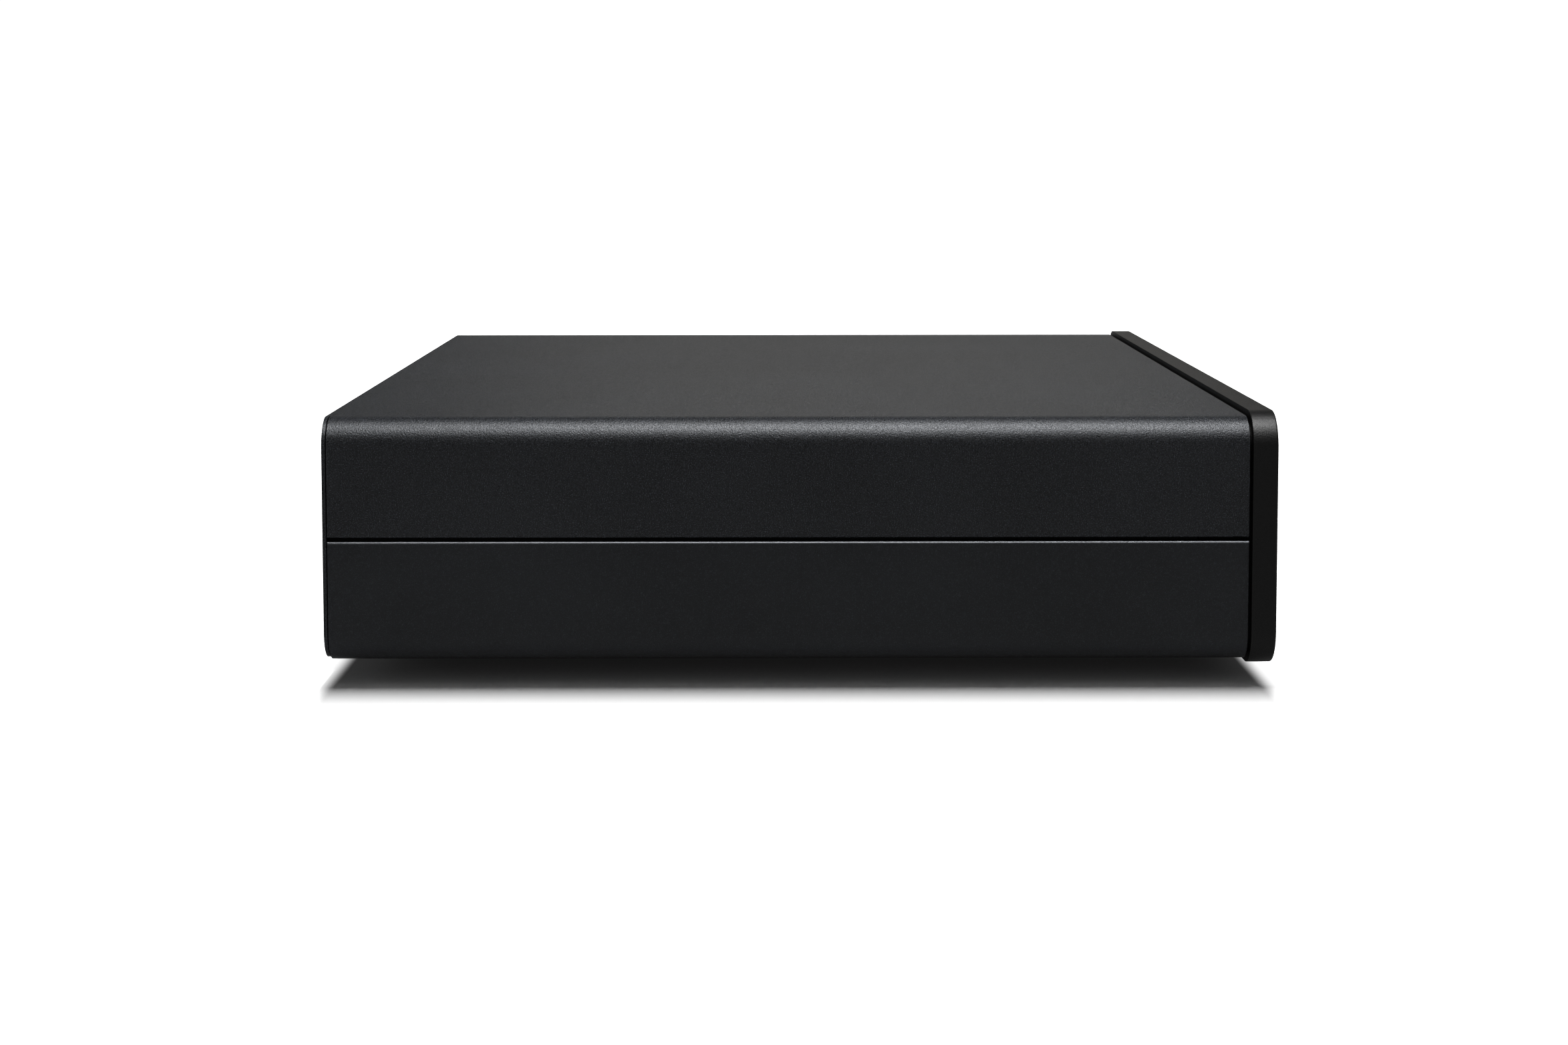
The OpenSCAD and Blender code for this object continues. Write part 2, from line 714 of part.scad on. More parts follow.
// Slot with round ends, along y
module slot(length, w) {
    translate([-w / 2, w / 2 - length / 2]) square([w, length - w]);
    for (y = [w / 2 - length / 2, length / 2 - w / 2]) translate([0, y]) circle(w / 2);
}

// Solid outline of the case, seen from the front
module case_outline() {
    translate([0, case_bottom]) rounded_rect(case_w, case_h, bend_r);
}

// Hollow of the case, seen from the front
module case_hollow() {
    translate([0, floor_top]) rounded_rect(2 * inner_half, ceiling - floor_top, inner_bend_r);
}

// Folded steel floor and lower walls, with rolled upper edges
module chassis_profile() {
    difference() {
        case_outline();
        case_hollow();
        translate([-case_w / 2 - 1, wall_top - sheet_edge_r]) square([case_w + 2, case_h]);
    }
    for (s = [-1, 1]) translate([s * (case_w / 2 - sheet_edge_r), wall_top - sheet_edge_r])
        circle(sheet_edge_r);
}

module lower_chassis() {
    color(steel_black) difference() {
        along_y(case_front, case_l) chassis_profile();
        translate([0, 0, case_bottom - 1]) linear_extrude(sheet_t + 2) floor_holes();
    }
}

module floor_holes() {
    for (x = under_x, y = under_y) translate([x, y]) circle(screw_r + screw_clear);
    for (x = foot_x, y = foot_y) translate([x, y]) circle(screw_r + thread_clear);
    for (x = fix_x, y = fix_y) translate([x, y]) circle(spigot_r + push_clear);
    for (i = [0:vent_count - 1])
        translate([module_x + (i - (vent_count - 1) / 2) * vent_pitch, module_front + module_l / 2])
            slot(vent_l, vent_w);
}

// Folded steel top and upper walls, with rolled lower edges
module cover_profile() {
    difference() {
        case_outline();
        case_hollow();
        translate([-case_w / 2 - 1, cover_edge + sheet_edge_r - case_h]) square([case_w + 2, case_h]);
    }
    for (s = [-1, 1]) translate([s * (case_w / 2 - sheet_edge_r), cover_edge + sheet_edge_r])
        circle(sheet_edge_r);
}

// Bracket under the cover's rear edge that takes a cover screw
module cover_tab() {
    difference() {
        along_x(-tab_w / 2, tab_w) polygon([
            [panel_in, ceiling], [panel_in, ceiling - tab_h], [panel_in - sheet_t, ceiling - tab_h],
            [panel_in - sheet_t, ceiling - sheet_t], [panel_in - tab_h, ceiling - sheet_t],
            [panel_in - tab_h, ceiling]
        ]);
        bar_y(0, panel_in - 2 * sheet_t, cover_screw_z, screw_r + thread_clear, 3 * sheet_t);
    }
}

// Hook under the cover's front edge that catches the subpanel's top flange
module cover_hook() {
    hook_y = sub_flange_end + fold_clear;
    hook_top = sub_top - sheet_t - fold_clear;
    along_x(-tab_w / 2, tab_w) polygon([
        [hook_y, ceiling], [hook_y, hook_top], [hook_y - hook_reach, hook_top],
        [hook_y - hook_reach, hook_top - sheet_t], [hook_y + sheet_t, hook_top - sheet_t],
        [hook_y + sheet_t, ceiling]
    ]);
}

module top_cover() {
    color(steel_black) {
        along_y(case_front, case_l) cover_profile();
        translate([-lap_half, case_rear - 1, ceiling])
            cube([2 * lap_half, panel_out - case_rear + 1, sheet_t]);
        for (x = cover_screw_x) translate([x, 0, 0]) cover_tab();
        for (x = [-hook_x, hook_x]) translate([x, 0, 0]) cover_hook();
    }
}

// Cut-outs of the rear panel, seen from the front
module panel_holes() {
    translate([-lap_half - rear_gap, ceiling - rear_gap])
        square([2 * (lap_half + rear_gap), sheet_t + 2 * rear_gap]);
    for (x = cover_screw_x) translate([x, cover_screw_z]) circle(screw_r + screw_clear);
    for (x = antenna_x) translate([x, antenna_z]) circle(antenna_r + cut_clear);
    for (x = jack_x) translate([x, jack_z]) circle(jack_ring_r + cut_clear);
    translate([mains_x - mains_w / 2 - cut_clear, board_top - cut_clear])
        square([mains_w + 2 * cut_clear, mains_h + 2 * cut_clear]);
    translate([usb_x - usb_w / 2 - usb_t - cut_clear, board_top - cut_clear])
        square([usb_w + 2 * usb_t + 2 * cut_clear, usb_h + 2 * usb_t + 2 * cut_clear]);
    translate([ethernet_x - ethernet_w / 2 - cut_clear, board_top - cut_clear])
        square([ethernet_w + 2 * cut_clear, ethernet_h + 2 * cut_clear]);
    translate([optical_x - optical_w / 2 - cut_clear, board_top - cut_clear])
        square([optical_w + 2 * cut_clear, optical_h + 2 * cut_clear]);
}

module rear_panel() {
    color(steel_black) {
        along_y(panel_in, rear_t) difference() {
            translate([0, case_bottom + panel_lift]) rounded_rect(case_w, case_h - panel_lift, bend_r);
            panel_holes();
        }
        difference() {
            translate([-lap_half, flange_front, floor_top])
                cube([2 * lap_half, rear_flange_l + rear_t / 2, rear_t]);
            for (x = under_x) translate([x, under_rear_y, floor_top - 1])
                cylinder(r = screw_r + thread_clear, h = rear_t + 2);
        }
    }
}

module front_fascia() {
    color(plate_black) difference() {
        translate([0, front_y, fascia_bottom])
            soft_plate(fascia_w, fascia_h, fascia_t, fascia_corner_r, fascia_edge_r);
        for (i = [0:4]) {
            bar_y(button_x[i], front_y - 1, control_z, button_r[i] + button_clear, fascia_t + 2);
            bar_y(button_x[i], fascia_back - pocket_depth, control_z,
                button_r[i] + button_flange_w + button_clear, pocket_depth + 1);
        }
        bar_y(light_x, front_y - 1, control_z, light_r + push_clear, fascia_t + 2);
        bar_y(light_x, fascia_back - light_flange_t - push_clear, control_z,
            light_flange_r + push_clear, light_flange_t + 1);
        for (x = fascia_screw_x, z = fascia_screw_z)
            bar_y(x, fascia_back - fascia_screw_l + sheet_t - push_clear, z,
                screw_r + thread_clear, fascia_screw_l);
    }
}

// Folded steel plate behind the front plate, with flanges back along its four sides
module front_subpanel() {
    color(zinc) difference() {
        union() {
            along_y(fascia_back, sheet_t) translate([0, floor_top])
                rounded_rect(2 * sub_half, sub_top - floor_top, inner_bend_r);
            for (z = [floor_top, sub_top - sheet_t])
                translate([-lap_half, fascia_back, z]) cube([2 * lap_half, sub_flange_l, sheet_t]);
            for (s = [0, 1]) mirror([s, 0, 0])
                translate([sub_half - sheet_t, fascia_back, floor_top + inner_bend_r])
                    cube([sheet_t, sub_flange_l, sub_top - floor_top - 2 * inner_bend_r]);
        }
        for (x = button_x) bar_y(x, fascia_back - 1, control_z, stem_r + fold_clear, sheet_t + 2);
        bar_y(light_x, fascia_back - 1, control_z, light_r + fold_clear, sheet_t + 2);
        for (x = fascia_screw_x, z = fascia_screw_z)
            bar_y(x, fascia_back - 1, z, screw_r + screw_clear, sheet_t + 2);
        for (x = spacer_x, z = spacer_z) bar_y(x, fascia_back - 1, z, spigot_r + push_clear, sheet_t + 2);
        for (x = under_x) translate([x, under_front_y, floor_top - 1])
            cylinder(r = screw_r + thread_clear, h = sheet_t + 2);
    }
}

// Flat steel strip behind the seam, welded to the lower wall
module joining_strip() {
    strip_y = sub_flange_end + fold_clear;
    translate([inner_half - strip_t, strip_y, wall_top - strip_lap])
        cube([strip_t, case_rear - fold_clear - strip_y, 2 * strip_lap + seam_gap]);
}

module left_joining_strip() {
    color(zinc) mirror([1, 0, 0]) joining_strip();
}

module right_joining_strip() {
    color(zinc) joining_strip();
}

// Turned rubber foot with a well for its screw head
module foot(x, y) {
    bead = 0.8;
    color(rubber_black) translate([x, y, 0]) rotate_extrude() difference() {
        union() {
            translate([0, bead]) square([foot_r, foot_h - bead]);
            square([foot_r - bead, foot_h]);
            translate([foot_r - bead, bead]) circle(bead);
        }
        square([screw_head_r + fold_clear, foot_well + screw_head_h]);
        square([screw_r + screw_clear, foot_h + 1]);
    }
}

module foot_front_left() {
    foot(foot_x[0], foot_y[0]);
}

module foot_front_right() {
    foot(foot_x[1], foot_y[0]);
}

module foot_rear_left() {
    foot(foot_x[0], foot_y[1]);
}

module foot_rear_right() {
    foot(foot_x[1], foot_y[1]);
}

// Screws under the floor, in the feet, and through the rear panel into the cover
module case_screws() {
    color(steel_black) {
        for (x = under_x, y = under_y) translate([x, y, case_bottom]) screw(under_screw_l);
        for (x = foot_x, y = foot_y) translate([x, y, foot_well + screw_head_h]) screw(foot_screw_l);
        for (x = cover_screw_x)
            translate([x, panel_out, cover_screw_z]) rotate([90, 0, 0]) screw(cover_screw_l);
    }
}

module fascia_screws() {
    color(zinc) for (x = fascia_screw_x, z = fascia_screw_z)
        translate([x, sub_back, z]) rotate([90, 0, 0]) screw(fascia_screw_l);
}

module board_screws() {
    color(zinc) {
        for (x = fix_x, y = fix_y) translate([x, y, board_top]) rotate([180, 0, 0]) screw(board_screw_l);
        for (x = spacer_x, z = spacer_z)
            translate([x, front_board_back, z]) rotate([90, 0, 0]) screw(board_screw_l);
    }
}

// Hexagonal spacer with a spigot below z = 0 that is pressed into the sheet
module standoff(length) {
    difference() {
        union() {
            cylinder(r = standoff_r, h = length, $fn = 6);
            translate([0, 0, -spigot_l]) cylinder(r = spigot_r, h = spigot_l);
        }
        translate([0, 0, -spigot_l - 1]) cylinder(r = screw_r + thread_clear, h = length + spigot_l + 2);
    }
}

module board_standoffs() {
    color(zinc) {
        for (x = fix_x, y = fix_y) translate([x, y, floor_top]) standoff(standoff_h);
        for (x = spacer_x, z = spacer_z) translate([x, sub_back, z]) rotate([-90, 0, 0]) standoff(spacer_l);
    }
}

// Round button with a softened face, a retaining flange and a stem that meets the switch
module button(i) {
    r = button_r[i];
    e = button_edge_r;
    face = -button_proud;
    flange = flange_face - front_y;
    color(aluminium * 0.35) turned_y(button_x[i], front_y, control_z) {
        translate([0, face + e]) square([r, flange - face - e + button_flange_t / 2]);
        translate([0, face]) square([r - e, e]);
        intersection() {
            translate([r - e, face + e]) circle(e);
            translate([0, face]) square([r, e]);
        }
        translate([0, flange]) square([r + button_flange_w, button_flange_t]);
        translate([0, flange]) square([stem_r, plunger_tip - flange_face]);
    }
}

module power_button() {
    button(0);
}

module preset_button_1() {
    button(1);
}

module preset_button_2() {
    button(2);
}

module preset_button_3() {
    button(3);
}

module preset_button_4() {
    button(4);
}

// Switch plunger, from the button's stem into its switch
module plunger(i) {
    color(plastic_black) bar_y(button_x[i], plunger_tip, control_z, plunger_r, plunger_proud + plunger_seat);
}

module power_switch_plunger() {
    plunger(0);
}

module preset_switch_plunger_1() {
    plunger(1);
}

module preset_switch_plunger_2() {
    plunger(2);
}

module preset_switch_plunger_3() {
    plunger(3);
}

module preset_switch_plunger_4() {
    plunger(4);
}

module push_switches() {
    color(plastic_black) for (x = button_x) difference() {
        translate([x - switch_w / 2, switch_face, control_z - switch_w / 2])
            cube([switch_w, switch_t, switch_w]);
        bar_y(x, switch_face - 1, control_z, plunger_r + run_clear,
            1 + plunger_seat + button_travel + run_clear);
    }
}

module front_board() {
    color(board_green) difference() {
        translate([-front_board_w / 2, front_board_y, front_board_bottom])
            cube([front_board_w, board_t, front_board_h]);
        for (x = spacer_x, z = spacer_z) bar_y(x, front_board_y - 1, z, screw_r + screw_clear, board_t + 2);
    }
}

module status_light_pipe() {
    led_face = front_board_y - led_h;
    color([0.9, 0.95, 1]) {
        bar_y(light_x, front_y, control_z, light_r, led_face - front_y);
        bar_y(light_x, fascia_back - light_flange_t, control_z, light_flange_r, light_flange_t);
    }
}

module status_led() {
    color("white") translate([light_x - led_w / 2, front_board_y - led_h, control_z - led_w / 2])
        cube([led_w, led_h, led_w]);
}

// Flat board with fixing holes
module board(x0, x1) {
    difference() {
        translate([x0, board_front, board_bottom]) cube([x1 - x0, board_l, board_t]);
        for (x = fix_x, y = fix_y) translate([x, y, board_bottom - 1])
            cylinder(r = screw_r + screw_clear, h = board_t + 2);
    }
}

module main_board() {
    color(board_green) board(main_x0, main_x1);
}

module power_supply_board() {
    color(board_green * 0.8) board(power_x0, power_x1);
}

module insulation_sheet() {
    margin = 1;
    sheet_front = board_front - margin;
    color([0.85, 0.85, 0.8]) difference() {
        translate([-lap_half, sheet_front, floor_top])
            cube([power_x1 + margin + lap_half, flange_front - fold_clear - sheet_front, insulation_t]);
        for (x = fix_x, y = fix_y) translate([x, y, floor_top - 1])
            cylinder(r = standoff_r + fold_clear, h = insulation_t + 2);
        for (x = foot_x, y = foot_y) translate([x, y, floor_top - 1])
            cylinder(r = screw_head_r, h = insulation_t + 2);
    }
}

// Square chip flat on the main board
module chip(x, y, w) {
    translate([x - w / 2, y - w / 2, board_top]) cube([w, w, chip_h]);
}

// Processor, converter and interface chips on the main board
module main_chips() {
    color(plastic_black) {
        chip(analogue_x[0], processor_y, processor_w);
        chip(analogue_x[0], chip_rear - converter_w / 2, converter_w);
        for (x = [coax_x, ethernet_x]) chip(x, chip_rear - receiver_w / 2, receiver_w);
    }
}

// Round can standing on a board
module can(x, y, r, h) {
    translate([x, y, board_top]) cylinder(r = r, h = h);
}

module audio_capacitors() {
    color([0.16, 0.18, 0.3]) for (i = [-1:1], j = [0:1])
        can(audio_x + j * audio_pitch, processor_y + i * audio_pitch, audio_r, audio_h);
}

// Plugs and sockets on the boards, each its own block
module board_connectors() {
    lift_block = [6, 30, module_lift];
    lift_inset = 14;
    lift_front = 8;
    color([0.88, 0.86, 0.8]) {
        translate([ribbon_x - ribbon_socket[0] / 2, front_board_back, ribbon_socket_z]) cube(ribbon_socket);
        translate([ribbon_x - ribbon_socket[0] / 2, ribbon_end, board_top])
            cube([ribbon_socket[0], ribbon_socket[2], ribbon_socket[1]]);
        for (x = plug_x) translate([x - plug_w / 2, plug_y - plug_l / 2, board_top])
            cube([plug_w, plug_l, plug_h]);
        for (x = [module_x - module_w / 2 + lift_inset, module_x + module_w / 2 - lift_inset - lift_block[0]])
            translate([x, module_front + lift_front, board_top]) cube(lift_block);
        for (x = antenna_x) translate([x, aerial_plug_y, module_top])
            cylinder(r = aerial_plug_r, h = aerial_plug_h);
    }
}

module network_module_board() {
    color([0.1, 0.16, 0.3]) translate([module_x - module_w / 2, module_front, module_bottom])
        cube([module_w, module_l, module_t]);
}

// Thin can, open below, over the module's radio and processor
module network_module_shield() {
    color(nickel) difference() {
        translate([module_x - shield_w / 2, shield_y, module_top]) cube([shield_w, shield_l, shield_h]);
        translate([module_x - shield_w / 2 + shield_t, shield_y + shield_t, module_top - 1])
            cube([shield_w - 2 * shield_t, shield_l - 2 * shield_t, shield_h - shield_t + 1]);
    }
}

// Row of fins on a base, across a width
module fin_outline(w, h, count) {
    square([w, sink_base]);
    for (i = [0:count - 1]) translate([i * (w - fin_t) / (count - 1), 0]) square([fin_t, h]);
}

module module_heatsink() {
    margin = 3;
    color(aluminium) along_y(shield_y + margin, shield_l - 2 * margin)
        translate([module_x - shield_w / 2 + margin, shield_top])
            fin_outline(shield_w - 2 * margin, sink_h, sink_fins);
}

// Glass fuse lying in two clips
module mains_fuse() {
    clip_l = 5;
    clip_h = 3;
    color(nickel) {
        bar_y(fuse_x, fuse_y, board_top + clip_h + fuse_r, fuse_r, fuse_l);
        for (y = [fuse_y, fuse_y + fuse_l - clip_l])
            translate([fuse_x - fuse_r, y, board_top]) cube([2 * fuse_r, clip_l, clip_h + fuse_r / 2]);
    }
}

// Ring core choke lying flat on the supply board
module filter_choke() {
    bead = (choke_out_r - choke_in_r) / 2.5;
    left = choke_in_r + bead;
    right = choke_out_r - bead;
    color([0.55, 0.3, 0.12]) translate([mains_x, choke_y, board_top]) rotate_extrude() {
        translate([choke_in_r, bead]) square([choke_out_r - choke_in_r, choke_h - 2 * bead]);
        translate([left, 0]) square([right - left, choke_h]);
        for (x = [left, right], y = [bead, choke_h - bead]) translate([x, y]) circle(bead);
    }
}

module bulk_capacitor() {
    color([0.1, 0.1, 0.12]) can(bulk_x, bulk_y, bulk_r, bulk_h);
}

// Ferrite core round a winding
module switching_transformer() {
    window_h = core_h - 2 * core_yoke;
    color([0.25, 0.24, 0.22]) translate([core_x, core_y, board_top]) {
        translate([-core_w / 2, -core_w / 2, 0]) difference() {
            cube([core_w, core_w, core_h]);
            translate([core_yoke, -1, core_yoke]) cube([core_w - 2 * core_yoke, core_w + 2, window_h]);
        }
        translate([0, 0, core_yoke]) cylinder(r = winding_r, h = window_h);
    }
}

// Upright heatsink with its fins along the side of the case
module rectifier_heatsink() {
    color(aluminium) translate([rectifier_x, rectifier_rear, board_top]) rotate([90, 0, 0])
        linear_extrude(rectifier_l) rotate([0, 0, 90]) mirror([0, 1])
            fin_outline(rectifier_h, rectifier_reach, rectifier_fins);
}

module output_capacitors() {
    color([0.1, 0.1, 0.12]) for (i = [-1:1])
        can(core_x + i * output_pitch, output_y, output_r, output_h);
}

// Supply wires that arch from one board to the other
module power_harness() {
    color([0.7, 0.12, 0.1]) for (i = [0:wire_count - 1])
        translate([(plug_x[0] + plug_x[1]) / 2, plug_y + (i - (wire_count - 1) / 2) * wire_pitch, 0]) {
            for (s = [-1, 1]) translate([s * wire_arch_r, 0, wire_foot]) cylinder(r = wire_r, h = wire_rise);
            translate([0, 0, wire_spring]) rotate([90, 0, 0]) rotate_extrude(angle = 180)
                translate([wire_arch_r, 0]) circle(wire_r);
        }
}

// Flat cable from the front board down and back to the main board
module ribbon_cable() {
    color([0.85, 0.87, 0.9]) along_x(ribbon_x - ribbon_w / 2, ribbon_w) {
        translate([ribbon_drop_y - ribbon_t / 2, ribbon_z + ribbon_bend_r])
            square([ribbon_t, ribbon_socket_z - ribbon_z - ribbon_bend_r]);
        translate([ribbon_drop_y + ribbon_bend_r, ribbon_z + ribbon_bend_r]) intersection() {
            difference() {
                circle(ribbon_bend_r + ribbon_t / 2);
                circle(ribbon_bend_r - ribbon_t / 2);
            }
            translate([-2 * ribbon_bend_r, -2 * ribbon_bend_r]) square(2 * ribbon_bend_r);
        }
        translate([ribbon_drop_y + ribbon_bend_r, ribbon_z - ribbon_t / 2])
            square([ribbon_end - ribbon_drop_y - ribbon_bend_r, ribbon_t]);
    }
}

// Thin coaxial leads from the module up and back to the antenna sockets
module antenna_leads() {
    bend_y = aerial_plug_y + lead_bend_r;
    bend_z = antenna_z - lead_bend_r;
    color(plastic_black) for (x = antenna_x) {
        translate([x, aerial_plug_y, lead_start]) cylinder(r = lead_r, h = bend_z - lead_start);
        translate([x, bend_y, bend_z]) rotate([90, 0, 90]) rotate([0, 0, 90]) rotate_extrude(angle = 90)
            translate([lead_bend_r, 0]) circle(lead_r);
        bar_y(x, bend_y, antenna_z, lead_r, antenna_tail_end - bend_y);
    }
}

// Figure-of-eight outline of the mains cavity
module mains_outline() {
    for (s = [-1, 1]) translate([s * mains_pin_pitch / 2, 0]) circle(mains_lobe_r);
    square([mains_pin_pitch, mains_waist], center = true);
}

module mains_inlet() {
    rim_corner_r = 2;
    color(plastic_black) difference() {
        union() {
            translate([mains_x - mains_w / 2, panel_out - mains_d, board_top])
                cube([mains_w, mains_d, mains_h]);
            translate([mains_x, 0, board_top - mains_rim]) along_y(panel_out, mains_rim_t)
                rounded_rect(mains_w + 2 * mains_rim, mains_h + 2 * mains_rim, rim_corner_r);
        }
        translate([mains_x, 0, mains_z]) along_y(mains_face - mains_cavity, mains_cavity + 1) mains_outline();
        for (s = [-1, 1]) bar_y(mains_x + s * mains_pin_pitch / 2, panel_out - mains_d - 1, mains_z,
            mains_pin_r + push_clear, mains_d);
    }
}

module mains_inlet_pins() {
    pin_start = panel_out - mains_d;
    color(nickel) for (s = [-1, 1])
        bar_y(mains_x + s * mains_pin_pitch / 2, pin_start, mains_z, mains_pin_r,
            mains_face - mains_cavity + mains_pin_l - pin_start);
}

module usb_socket() {
    color(nickel) difference() {
        translate([usb_x - usb_w / 2 - usb_t, usb_face - usb_d, board_top])
            cube([usb_w + 2 * usb_t, usb_d, usb_h + 2 * usb_t]);
        translate([usb_x - usb_w / 2, usb_face - usb_d - 1, board_top + usb_t])
            cube([usb_w, usb_d + 2, usb_h]);
    }
}

// Moulded block in the back of the USB shell, with the contact tongue
module usb_tongue() {
    tongue_drop = 0.9;
    tongue_z = board_top + usb_t + usb_h - tongue_drop - usb_tongue_t;
    block_end = usb_face - usb_d + usb_block;
    color("white") {
        translate([usb_x - usb_w / 2 + push_clear, usb_face - usb_d, board_top + usb_t])
            cube([usb_w - 2 * push_clear, usb_block, usb_h - push_clear]);
        translate([usb_x - usb_tongue_w / 2, block_end - 1, tongue_z])
            cube([usb_tongue_w, usb_tongue_l + 1, usb_tongue_t]);
    }
}

// Ethernet jack with a plug cavity and a stepped latch slot
module ethernet_jack() {
    latch_depth = 8;
    color(nickel) difference() {
        translate([ethernet_x - ethernet_w / 2, ethernet_face - ethernet_d, board_top])
            cube([ethernet_w, ethernet_d, ethernet_h]);
        translate([ethernet_x - ethernet_bay_w / 2, ethernet_face - ethernet_bay_d, ethernet_floor])
            cube([ethernet_bay_w, ethernet_bay_d + 1, ethernet_bay_h]);
        translate([ethernet_x - latch_w / 2, ethernet_face - latch_depth, ethernet_floor - latch_h])
            cube([latch_w, latch_depth + 1, latch_h + 1]);
        translate([ethernet_x - latch_step_w / 2, ethernet_face - latch_depth, ethernet_floor - 2 * latch_h])
            cube([latch_step_w, latch_depth + 1, latch_h + 1]);
    }
}

// Eight spring contacts that lie on the roof of the cavity and slope down to its back
module ethernet_contacts() {
    contact_root = 1.5;
    setback = 2.5;
    roof = ethernet_floor + ethernet_bay_h;
    root_y = ethernet_face - setback;
    bend_y = root_y - contact_root;
    tip_y = root_y - ethernet_contact_l;
    tip_z = roof - ethernet_contact_drop;
    t = ethernet_contact_t;
    color(gold) for (i = [-3.5:3.5])
        along_x(ethernet_x + i * ethernet_pitch - ethernet_contact_w / 2, ethernet_contact_w) polygon([
            [root_y, roof], [root_y, roof - t], [bend_y, roof - t],
            [tip_y, tip_z - t], [tip_y, tip_z], [bend_y, roof]
        ]);
}

// Optical socket with a plug cavity, a lens boss and blind holes for the shutter's pivots
module optical_socket() {
    boss_r = 1.6;
    boss_l = 0.8;
    lens_r = 0.6;
    cavity_y = optical_face - optical_bay_d;
    cavity_z = optical_floor + optical_bay_h / 2;
    color(plastic_black) difference() {
        union() {
            difference() {
                translate([optical_x - optical_w / 2, panel_out - optical_d, board_top])
                    cube([optical_w, optical_d + optical_proud, optical_h]);
                translate([optical_x - optical_bay_w / 2, cavity_y, optical_floor])
                    cube([optical_bay_w, optical_bay_d + 1, optical_bay_h]);
            }
            bar_y(optical_x, cavity_y - boss_l, cavity_z, boss_r, 2 * boss_l);
        }
        bar_y(optical_x, cavity_y - boss_l, cavity_z, lens_r, 3 * boss_l);
        translate([optical_x - optical_bay_w / 2 - pivot_l, shutter_axis_y, shutter_axis_z])
            rotate([0, 90, 0]) cylinder(r = pivot_r + run_clear, h = optical_bay_w + 2 * pivot_l);
    }
}

// Sprung flap that hangs across the optical socket's mouth on two pivots
module optical_shutter() {
    flap_w = optical_bay_w - 2 * shutter_clear;
    flap_top = shutter_axis_z + shutter_half_t;
    flap_bottom = optical_floor + shutter_clear;
    pin_w = optical_bay_w + 2 * pivot_l - 2 * run_clear;
    color(plastic_black * 1.4) {
        translate([optical_x - flap_w / 2, shutter_axis_y - shutter_half_t, flap_bottom])
            cube([flap_w, shutter_t, shutter_axis_z - flap_bottom]);
        translate([optical_x - flap_w / 2, shutter_axis_y, shutter_axis_z]) rotate([0, 90, 0])
            cylinder(r = shutter_half_t, h = flap_w);
        translate([optical_x - pin_w / 2, shutter_axis_y, shutter_axis_z]) rotate([0, 90, 0])
            cylinder(r = pivot_r, h = pin_w);
    }
}

// Threaded barrel with a shoulder inside the panel, and its nut outside
module antenna_sockets() {
    color(gold) for (x = antenna_x) {
        turned_y(x, panel_in, antenna_z) {
            difference() {
                square([antenna_r, rear_t + antenna_reach]);
                translate([antenna_post_r, rear_t + antenna_reach - antenna_mouth_d])
                    square([antenna_mouth_r - antenna_post_r, antenna_mouth_d + 1]);
            }
            translate([0, -antenna_shoulder_l]) square([antenna_shoulder_r, antenna_shoulder_l]);
            translate([0, -antenna_shoulder_l - antenna_tail_l]) square([antenna_tail_r, antenna_tail_l]);
        }
        translate([x, panel_out, antenna_z]) rotate([-90, 0, 0]) difference() {
            cylinder(r = antenna_nut_r, h = antenna_nut_t, $fn = 6);
            translate([0, 0, -1]) cylinder(r = antenna_r + thread_clear, h = antenna_nut_t + 2);
        }
    }
}

// Turned outline of a phono boss: coloured ring and insulating core, measured from the panel's inside
module phono_boss() {
    square([jack_ring_r, rear_t + jack_ring_proud]);
    square([jack_core_r, jack_core_tip - panel_in]);
}

// Turned outline of the groove for a phono shell and the hole for its centre contact
module phono_sinkings() {
    depth = jack_seat + rear_t + jack_reach;
    translate([groove_in, -jack_seat]) square([groove_out - groove_in, depth]);
    translate([0, -jack_seat]) square([jack_contact_r + push_clear, depth]);
}

// Phono jack body: a block on the board with one boss for each axis
module phono_body(xs) {
    x0 = xs[0] - jack_block_w / 2;
    x1 = xs[len(xs) - 1] + jack_block_w / 2;
    difference() {
        union() {
            translate([x0, panel_in - jack_block_d, board_top]) cube([x1 - x0, jack_block_d, jack_block_h]);
            for (x = xs) turned_y(x, panel_in, jack_z) phono_boss();
        }
        for (x = xs) turned_y(x, panel_in, jack_z) phono_sinkings();
    }
}

module coaxial_jack_body() {
    color([0.85, 0.42, 0.08]) phono_body([coax_x]);
}

module analogue_jack_block() {
    color([0.75, 0.1, 0.1]) phono_body(analogue_x);
}

// Plated sleeves that stand out of the phono bodies
module phono_shells() {
    bore_r = jack_shell_r - jack_shell_t;
    color(nickel) for (x = jack_x) turned_y(x, jack_bottom, jack_z) {
        translate([bore_r, 0]) square([jack_shell_t, jack_tip - jack_bottom]);
        translate([bore_r, 0]) square([jack_seat_r - bore_r, jack_ring_face - jack_bottom]);
    }
}

module phono_contacts() {
    color(gold) for (x = jack_x) turned_y(x, jack_bottom, jack_z)
        translate([jack_pin_r, 0]) square([jack_contact_t, jack_contact_tip - jack_bottom]);
}

